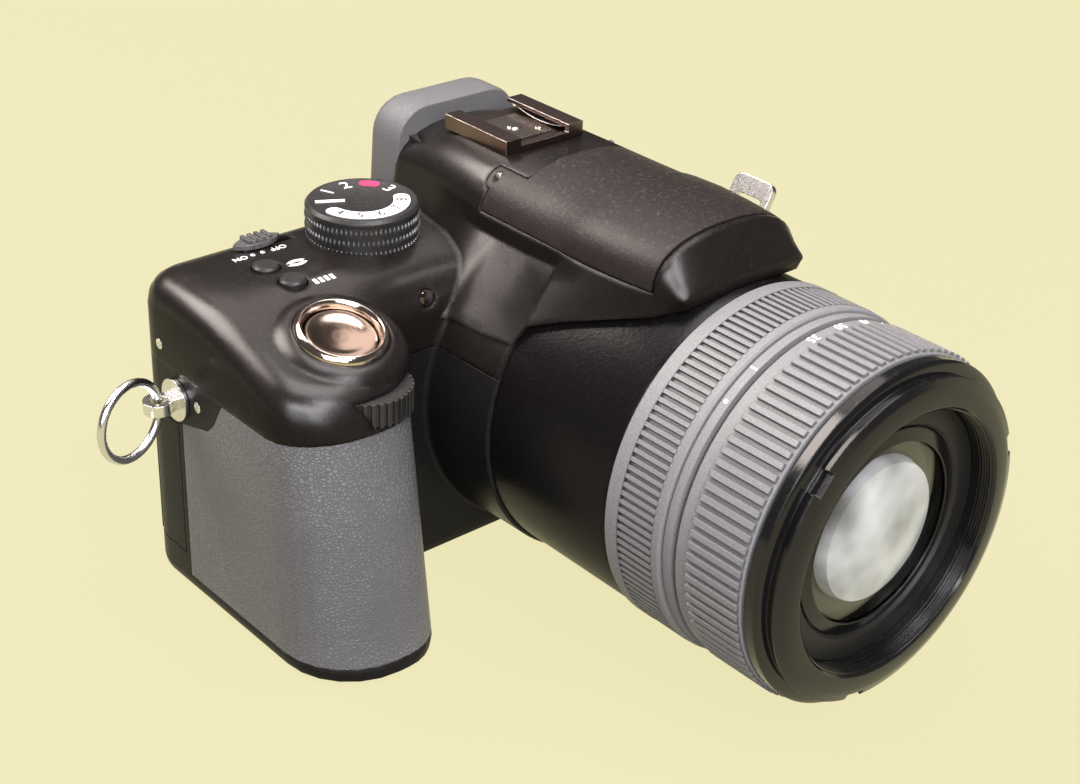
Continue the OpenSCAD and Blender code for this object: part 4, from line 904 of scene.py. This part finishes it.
@dataclass
class LensUnit(SubAssembly):
    """The lens with its rings, scale, thread and glass."""

    finishes: FinishRows = (
        ("housing", "lens_housing"),
        ("ring", "focus_ring zoom_ring index_ring"),
        ("gloss", "front_barrel"),
        ("bezel", "front_bezel"),
        ("control", "iris_unit focus_switch"),
        ("rail", "zoom_group focus_group rear_group"),
    )
    axis_h: float = 37.0
    front: float = 110.0
    band_r: float = 35.3
    band_at: float = 87.6
    index_r: float = 35.5
    index_at: float = 84.5
    mark_half: Pair = (0.18, 0.8)
    mark_angle: float = 118.0
    dot_r: float = 0.45
    dot_angle: float = 131.0
    figure_h: float = 1.9
    scale: tuple[tuple[str, float], ...] = (("35", 98.0), ("50", 86.0), ("70", 74.0), ("100", 61.0),
                                            ("135", 47.0), ("200", 33.0), ("300", 19.0))
    thread_r: float = 27.1
    thread_depth: float = 2.5
    thread_pitch: float = 0.6
    glass_r: float = 21.3
    dome_at: float = 103.8
    dome_h: float = 2.9
    shell_t: float = 0.9
    cell_back: float = 100.9
    second_r: float = 14.8
    rim_r: float = 18.6
    rim_out: float = 21.3
    rim_at: float = 103.9

    def frame(self) -> Matrix:
        """Give the lens's own frame, with Z ahead."""
        return place(Turn.LENS, (0.0, 0.0, self.axis_h))

    def build(self) -> None:
        """Add the scale, the index marks and the filter thread."""
        figures = [Shape.letters(text, self.figure_h, INK_T).bent(self.band_r, angle, self.band_at)
                   for text, angle in self.scale]
        figures = Shape.joined(figures).moved(self.frame())
        figures.piece("zoom_figures", "white", "zoom_ring", "ring_rubber")
        half, tall = self.mark_half
        line = Shape.prism([(-half, -tall), (half, -tall), (half, tall), (-half, tall)], 0.0, INK_T)
        turns = [2 * math.pi * k / 20 for k in range(20)]
        dot = Shape.prism([(self.dot_r * math.cos(a), self.dot_r * math.sin(a)) for a in turns], 0.0, INK_T)
        index = line.bent(self.index_r, self.mark_angle, self.index_at)
        index = index.plus(dot.bent(self.index_r, self.dot_angle, self.index_at))
        index.moved(self.frame()).piece("index_marks", "white", ROOT, "ring_rubber")
        self.thread().moved(self.frame()).piece("filter_thread_ridges", "gloss", ROOT, "gloss_black")
        self.rim().moved(self.frame()).piece("front_glass_rim", "gloss", ROOT, "gloss_black")
        self.glasses()

    def glasses(self) -> None:
        """Make the front glass as a domed shell, and the second glass in its cell close behind it; the second
        glass is opaque, and its clouded dark and bright colour is a painted reflection.
        """
        steps, back, r = 12, self.cell_back, self.second_r
        reach = [self.glass_r * max(k, 0.01) / steps for k in range(steps + 1)]
        outer = [(x, self.dome(x)) for x in reach]
        inner = [(x, self.dome(x) - self.shell_t) for x in reversed(reach)]
        shell = Shape.turned([*outer, *inner], 128).moved(self.frame())
        shell.piece("front_element_shell", "glass", ROOT, "optical_glass", "front_element")
        face = [(x, self.dome(x) - self.shell_t - 0.4) for x in reach if x < r]
        second = Shape.turned([*face, (r, back + 1.2), (r, back), (0.01, back)], 128)
        second.moved(self.frame()).piece("second_element", "second_glass_painted_reflection", ROOT, "optical_glass")
        cell = Shape.turned([(r, back), (self.glass_r, back), (self.glass_r, back + 1.0),
                             (r + 1.2, back + 1.0), (r, back + 0.6)], 128)
        cell.moved(self.frame()).piece("second_cell", "gloss", ROOT, "gloss_black")

    def dome(self, r: float) -> float:
        """Give the place of the front glass's face at a radius."""
        return self.dome_at + self.dome_h * (1 - (r / self.glass_r) ** 2)

    def rim(self) -> Shape:
        """Draw the thin ring that holds the front glass, lying close on its dome."""
        low, out, at = self.rim_r, self.rim_out, self.rim_at
        outline = [(low, at + 0.95), (low + 0.25, at + 1.15), (out, at + 0.5), (out, at + 0.2)]
        return Shape.turned(outline, 128)

    def thread(self) -> Shape:
        """Draw the ridges of the filter thread."""
        start = self.front - 0.5 - self.thread_depth
        count = int(self.thread_depth / self.thread_pitch)
        outline: list[Pair] = [(self.thread_r + 0.1, start)]
        for k in range(count):
            low = start + k * self.thread_pitch
            outline += [(self.thread_r - 0.02, low), (self.thread_r - 0.45, low + self.thread_pitch / 2)]
        end = start + count * self.thread_pitch
        outline += [(self.thread_r - 0.02, end), (self.thread_r + 0.1, end)]
        return Shape.turned(outline, 128)


@dataclass
class TopControls(SubAssembly):
    """Mode dial, switch, buttons, shutter release and command dials."""

    finishes: FinishRows = (
        ("control", "top_button_rear top_button_front front_dial rear_dial"),
        ("studs", "power_switch"),
        ("chrome", "shutter_ring"),
        ("button_mirror", "shutter_button"),
    )
    dial_at: Pair = (-35.6, 7.8)
    dial_r: float = 11.5
    stud_rows: int = 4
    studs: int = 72
    stud_h: float = 0.35
    mark_r: float = 8.1
    mark_t: float = 0.1
    figures: tuple[tuple[str, float], ...] = (("1", 114.0), ("2", 79.0), ("3", 11.0))
    band_figures: tuple[tuple[str, float], ...] = (("4", -160.0), ("5", -129.0), ("6", -98.0), ("7", -67.0),
                                                   ("8", -36.0))
    words: tuple[tuple[str, float], ...] = (("OFF", -54.2), ("ON", -63.2))
    words_y: float = 11.0
    word_h: float = 1.5
    dots_x: Pair = (-60.2, -57.9)
    leaf_x: float = -55.2
    leaves: tuple[tuple[float, float], ...] = ((0.9, 45.0), (5.0, 225.0))
    bars_at: Pair = (-56.5, -5.4)
    bar_pitch: float = 1.3
    deck_h: float = 67.0
    deck_fall: float = 0.33
    deck_soft: float = 8.0

    def build(self) -> None:
        """Make the mode dial with its marks, and the marks on the deck."""
        self.dial()
        self.deck_marks()

    def on_deck(self, x: float, y: float, spin: float = 0.0) -> Matrix:
        """Give the frame of a flat mark on the deck.

        Args:
            x: its place across the deck.
            y: its place along the deck.
            spin: degrees about the deck's own normal.

        Returns:
            The matrix that lays the mark on the sloping deck.
        """
        ahead = max(0.0, -y)
        reach = math.hypot(ahead, self.deck_soft)
        height = self.deck_h - self.deck_fall * (reach - self.deck_soft)
        slope = math.atan(self.deck_fall * ahead / reach)
        return (Matrix.Translation((x, y, height)) @ Matrix.Rotation(slope, 4, "X")
                @ Matrix.Rotation(math.radians(spin), 4, "Z"))

    def deck_marks(self) -> None:
        """Print the switch's words and plain signs by the two buttons."""
        bar = Shape.prism([(-0.4, -0.8), (0.4, -0.8), (0.4, 0.8), (-0.4, 0.8)], 0.0, INK_T)
        dot = Shape.band(0.25, 0.5, 0, 350, 0.0, INK_T)
        x, y = self.bars_at
        marks = [
            *(Shape.letters(text, self.word_h, INK_T).moved(self.on_deck(at, self.words_y, 180))
              for text, at in self.words),
            *(dot.moved(self.on_deck(at, self.words_y)) for at in self.dots_x),
            *(Shape.band(2.9, 0.9, start, start + 90, 0.0, INK_T).moved(self.on_deck(self.leaf_x, at))
              for at, start in self.leaves),
            *(bar.moved(self.on_deck(x + self.bar_pitch * k, y)) for k in range(4)),
        ]
        Shape.joined(marks).piece("deck_marks", "white", ROOT, "cover_plastic")

    def dial(self) -> None:
        """Make the checkered mode dial and its marks."""
        low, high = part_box("mode_dial")
        base, crown = low.z / MM, high.z / MM
        spot = place(Turn.UP, (*self.dial_at, 0.0))
        r = self.dial_r
        outline = [(0.01, base), (r + 0.2, base), (r + 0.3, base + 0.25), (r + 0.3, base + 0.8),
                   (r, base + 1.0), (r, crown - 1.5), (r + 0.25, crown - 1.3), (r + 0.25, crown - 0.7),
                   (r - 0.35, crown - 0.05), (r - 0.8, crown), (r - 1.2, crown - 0.15), (0.01, crown - 0.15)]
        body, slot = "mode_dial", "control_plastic"
        Shape.turned(outline, 144).moved(spot).piece("mode_dial_drum", "control", body, slot, "mode_dial")
        # the studs' lighter colour is a painted highlight
        knurl = self.knurl(base + 1.1, crown - 1.6)
        knurl.moved(spot).piece("mode_dial_studs", "studs", body, slot)
        flat = crown - 0.16
        raised = flat + self.mark_t
        bar = Shape.prism([(3.6, -0.6), (9.6, -0.6), (9.6, 0.6), (3.6, 0.6)], flat, raised)
        marks = Shape.band(self.mark_r, 3.4, -170, -26, flat, raised)
        marks = marks.plus(bar.moved(Matrix.Rotation(math.radians(151), 4, "Z")))
        for text, angle in self.figures:
            turn = Matrix.Rotation(math.radians(angle - 90), 4, "Z")
            figure = Shape.letters(text, 3.2, self.mark_t)
            marks = marks.plus(figure.moved(turn @ Matrix.Translation((0, self.mark_r, flat))))
        marks.moved(spot).piece("mode_dial_marks", "white", body, slot)
        dark = Shape([], [])
        for text, angle in self.band_figures:
            turn = Matrix.Rotation(math.radians(angle + 90), 4, "Z")
            figure = Shape.letters(text, 2.3, INK_T)
            dark = dark.plus(figure.moved(turn @ Matrix.Translation((0, -self.mark_r, flat + INK_T))))
        dark.moved(spot).piece("mode_dial_band_figures", "control", body, slot)
        red = Shape.band(8.6, 2.6, 38, 50, flat, raised)
        red.moved(spot).piece("mode_dial_red_mark", "red", body, slot)

    def knurl(self, low: float, high: float) -> Shape:
        """Draw rows of small studs round the dial."""
        made: list[Shape] = []
        r, pitch = self.dial_r, (high - low) / self.stud_rows
        for row in range(self.stud_rows):
            z = low + (row + 0.5) * pitch
            for k in range(self.studs):
                a = 360 / self.studs * (k + 0.5 * (row % 2))
                half = math.pi * r / self.studs * 0.86
                tall = pitch * 0.44
                foot = [(-half, 0), (0, -tall), (half, 0), (0, tall)]
                tip = [(0.3 * x, 0.3 * y) for x, y in foot]
                points = [Vector((x, y, -0.15)) for x, y in foot]
                points += [Vector((x, y, self.stud_h)) for x, y in tip]
                faces = [(4, 5, 6, 7), *[(i, (i + 1) % 4, 4 + (i + 1) % 4, 4 + i) for i in range(4)]]
                made.append(Shape(points, faces).bent(r, a, z))
        return Shape.joined(made)


@dataclass
class FlashAndShoe(SubAssembly):
    """Flash lid with its unit, and the hot shoe with its leaf springs."""

    finishes: FinishRows = (
        ("lid", "flash_lid"),
        ("steel", "flash_hinge_pin"),
        ("bright", "flash_unit"),
        ("frost", "flash_window"),
        ("control", "flash_button"),
        ("rail", "shoe_rails"),
        ("contact", "shoe_contacts"),
    )
    spring_x: float = 8.0
    spring_half: float = 1.1
    spring_y: float = 2.5
    spring_l: float = 15.0
    spring_top: float = 84.5
    spring_sag: float = 1.1
    spring_t: float = 0.25

    def build(self) -> None:
        """Bend a leaf spring into each slot of the shoe."""
        steps = 20
        springs: list[Shape] = []
        for side in (-1, 1):
            points = []
            for i in range(steps + 1):
                t = 2 * i / steps - 1
                z = self.spring_top - self.spring_sag * (1 - t * t)
                for x, lift in ((-1, 0.0), (1, 0.0), (1, -self.spring_t), (-1, -self.spring_t)):
                    across = side * self.spring_x + x * self.spring_half
                    points.append(Vector((across, self.spring_y + t * self.spring_l / 2, z + lift)))
            faces = [(4 * i + k, 4 * i + (k + 1) % 4, 4 * i + 4 + (k + 1) % 4, 4 * i + 4 + k)
                     for i in range(steps) for k in range(4)]
            ends = [(0, 1, 2, 3), tuple(4 * steps + k for k in (3, 2, 1, 0))]
            springs.append(Shape(points, [*faces, *ends]))
        Shape.joined(springs).piece("shoe_springs", "steel", ROOT, "steel")


@dataclass
class Viewfinder(SubAssembly):
    """Viewfinder unit with its eyecup and diopter dial."""

    finishes: FinishRows = (("eyecup", "eyecup"), ("control", "evf_module diopter_dial"),
                            ("inner_glass", "eyepiece_lens"))


@dataclass
class RearSide(SubAssembly):
    """Screen and rear buttons."""

    finishes: FinishRows = (
        ("cover", "screen_panel"),
        ("screen", "screen_glass"),
        ("steel", "screen_hinge_pin"),
        ("control", "lock_button view_button delete_button"),
        ("control", "cursor_up cursor_down cursor_left cursor_right set_button"),
    )


@dataclass
class Inside(SubAssembly):
    """Boards, battery and card."""

    finishes: FinishRows = (("board", "sensor_board main_board"), ("cell", "battery"),
                            ("card", "memory_card"))


@dataclass
class StrapHardware(SubAssembly):
    """Strap lugs and rings."""

    finishes: FinishRows = (("bright", "strap_lugs strap_ring_near strap_ring_far"),)


@dataclass(frozen=True)
class Lamp:
    """A soft area lamp, square unless it has a height of its own, in metres and watts."""

    name: str
    at: Place
    size: float
    power: float
    colour: Colour
    height: float = 0.0

    def hang(self, aim: Place) -> None:
        """Hang the lamp so that it faces a point."""
        data = bpy.data.lights.new(self.name, "AREA")
        data.shape = "RECTANGLE"
        data.size = self.size
        data.size_y = self.height or self.size
        data.energy = self.power
        data.color = self.colour
        made = bpy.data.objects.new(self.name, data)
        made.location = self.at
        made.rotation_euler = (Vector(aim) - Vector(self.at)).to_track_quat("-Z", "Y").to_euler()
        bpy.context.scene.collection.objects.link(made)


@dataclass
class Studio:
    """Pale floor, soft lamps, and the camera that sees the part as the photograph does."""

    pale: Colour = (0.972, 0.906, 0.544)
    matte: Colour = (0.12, 0.12, 0.126)
    glow_share: float = 0.85
    floor_half: float = 4.0
    azimuth: float = -42.1
    elevation: float = 28.9
    roll: float = 2.4
    distance: float = 0.3837
    focal_px: float = 1882.0
    image_w: float = 1080.0
    sensor: float = 36.0
    target: Place = (-0.0196, -0.0309, 0.0408)
    part_middle: Place = (0.0, -0.03, 0.04)
    room: Colour = (1.0, 0.97, 0.93)
    room_level: float = 0.1
    floor_drop: float = 0.0002
    lamps: tuple[Lamp, ...] = (
        Lamp("rear_left_box", (-0.36, 0.6, 0.86), 0.6, 19.0, (1.0, 0.9, 0.84)),
        Lamp("top_box", (0.15, -0.15, 1.2), 0.8, 17.0, (1.0, 0.97, 0.96)),
        Lamp("deck_box", (0.36, 0.6, 0.96), 0.55, 2.5, (1.0, 0.9, 0.84)),
        Lamp("front_left_box", (-0.9, -0.75, 0.5), 0.5, 5.0, (1.0, 0.98, 1.0)),
        Lamp("shoulder_strip", (-0.58, -0.9, 0.88), 1.1, 16.0, (1.0, 0.98, 0.99), height=0.2),
        Lamp("bevel_box", (-0.46, -1.02, 0.5), 0.35, 5.0, (1.0, 0.98, 1.0)),
        Lamp("front_top_box", (-0.05, -0.66, 0.8), 0.25, 4.0, (1.0, 0.98, 0.99)),
    )

    def build(self) -> None:
        """Make the floor, the world, the lamps and the camera."""
        self.floor()
        self.world()
        for lamp in self.lamps:
            lamp.hang(self.part_middle)
        self.camera()

    def floor(self) -> None:
        """Lay a pale floor that keeps a faint shadow."""
        a = self.floor_half
        mesh = bpy.data.meshes.new("floor")
        mesh.from_pydata([(-a, -a, 0), (a, -a, 0), (a, a, 0), (-a, a, 0)], [], [(0, 1, 2, 3)])
        made = bpy.data.objects.new("floor", mesh)
        bpy.context.scene.collection.objects.link(made)
        made.location.z = -self.floor_drop
        material = bpy.data.materials.new("pale_floor")
        material.use_nodes = True
        tree = material.node_tree
        tree.nodes.clear()
        add, join = tree.nodes.new, tree.links.new
        matte, glow = add("ShaderNodeBsdfDiffuse"), add("ShaderNodeEmission")
        matte.inputs["Color"].default_value = (*self.matte, 1)
        glow.inputs["Color"].default_value = (*self.pale, 1)
        path, mix, sink = (add(f"ShaderNode{kind}") for kind in ("LightPath", "MixShader", "OutputMaterial"))
        seen, all_seen, share = (add("ShaderNodeMath") for _ in range(3))
        seen.operation = all_seen.operation = "MAXIMUM"
        share.operation = "MULTIPLY"
        share.inputs[1].default_value = self.glow_share
        for start, end in (
            (path.outputs["Is Camera Ray"], seen.inputs[0]),
            (path.outputs["Is Glossy Ray"], seen.inputs[1]),
            (seen.outputs[0], all_seen.inputs[0]),
            (path.outputs["Is Transmission Ray"], all_seen.inputs[1]),
            (all_seen.outputs[0], share.inputs[0]),
            (share.outputs[0], mix.inputs["Fac"]),
            (matte.outputs[0], mix.inputs[1]),
            (glow.outputs[0], mix.inputs[2]),
            (mix.outputs[0], sink.inputs["Surface"]),
        ):
            join(start, end)
        mesh.materials.append(material)

    def world(self) -> None:
        """Light the room softly from all round."""
        world = bpy.data.worlds.new("room")
        bpy.context.scene.world = world
        world.use_nodes = True
        back = world.node_tree.nodes["Background"]
        back.inputs["Color"].default_value = (*self.room, 1)
        back.inputs["Strength"].default_value = self.room_level

    def camera(self) -> None:
        """Set the camera at the photograph's angle."""
        a, e, r = (math.radians(v) for v in (self.azimuth, self.elevation, self.roll))
        back = Vector((math.sin(a) * math.cos(e), -math.cos(a) * math.cos(e), math.sin(e)))
        level = Vector((math.cos(a), math.sin(a), 0.0))
        upright = back.cross(level)
        right = level * math.cos(r) + upright * math.sin(r)
        up = upright * math.cos(r) - level * math.sin(r)
        data = bpy.data.cameras.new("photo_camera")
        data.sensor_fit = "HORIZONTAL"
        data.sensor_width = self.sensor
        data.lens = self.focal_px * self.sensor / self.image_w
        data.clip_start = 0.01
        made = bpy.data.objects.new("photo_camera", data)
        turn = Matrix((right, up, back)).transposed()
        made.matrix_world = Matrix.Translation(Vector(self.target) + back * self.distance) @ turn.to_4x4()
        bpy.context.scene.collection.objects.link(made)
        bpy.context.scene.camera = made


def main() -> None:
    """Build and dress every sub-assembly."""
    logging.basicConfig(level=logging.INFO, format="%(name)s: %(message)s")
    bpy.context.scene.view_settings.view_transform = "Standard"
    for unit in (Shells(), LensUnit(), TopControls(), FlashAndShoe(), Viewfinder(), RearSide(), Inside(),
                 StrapHardware()):
        unit.dress()
        unit.build()
        LOG.info("%s done", type(unit).__name__)
    Studio().build()


if __name__ == "__main__":
    main()
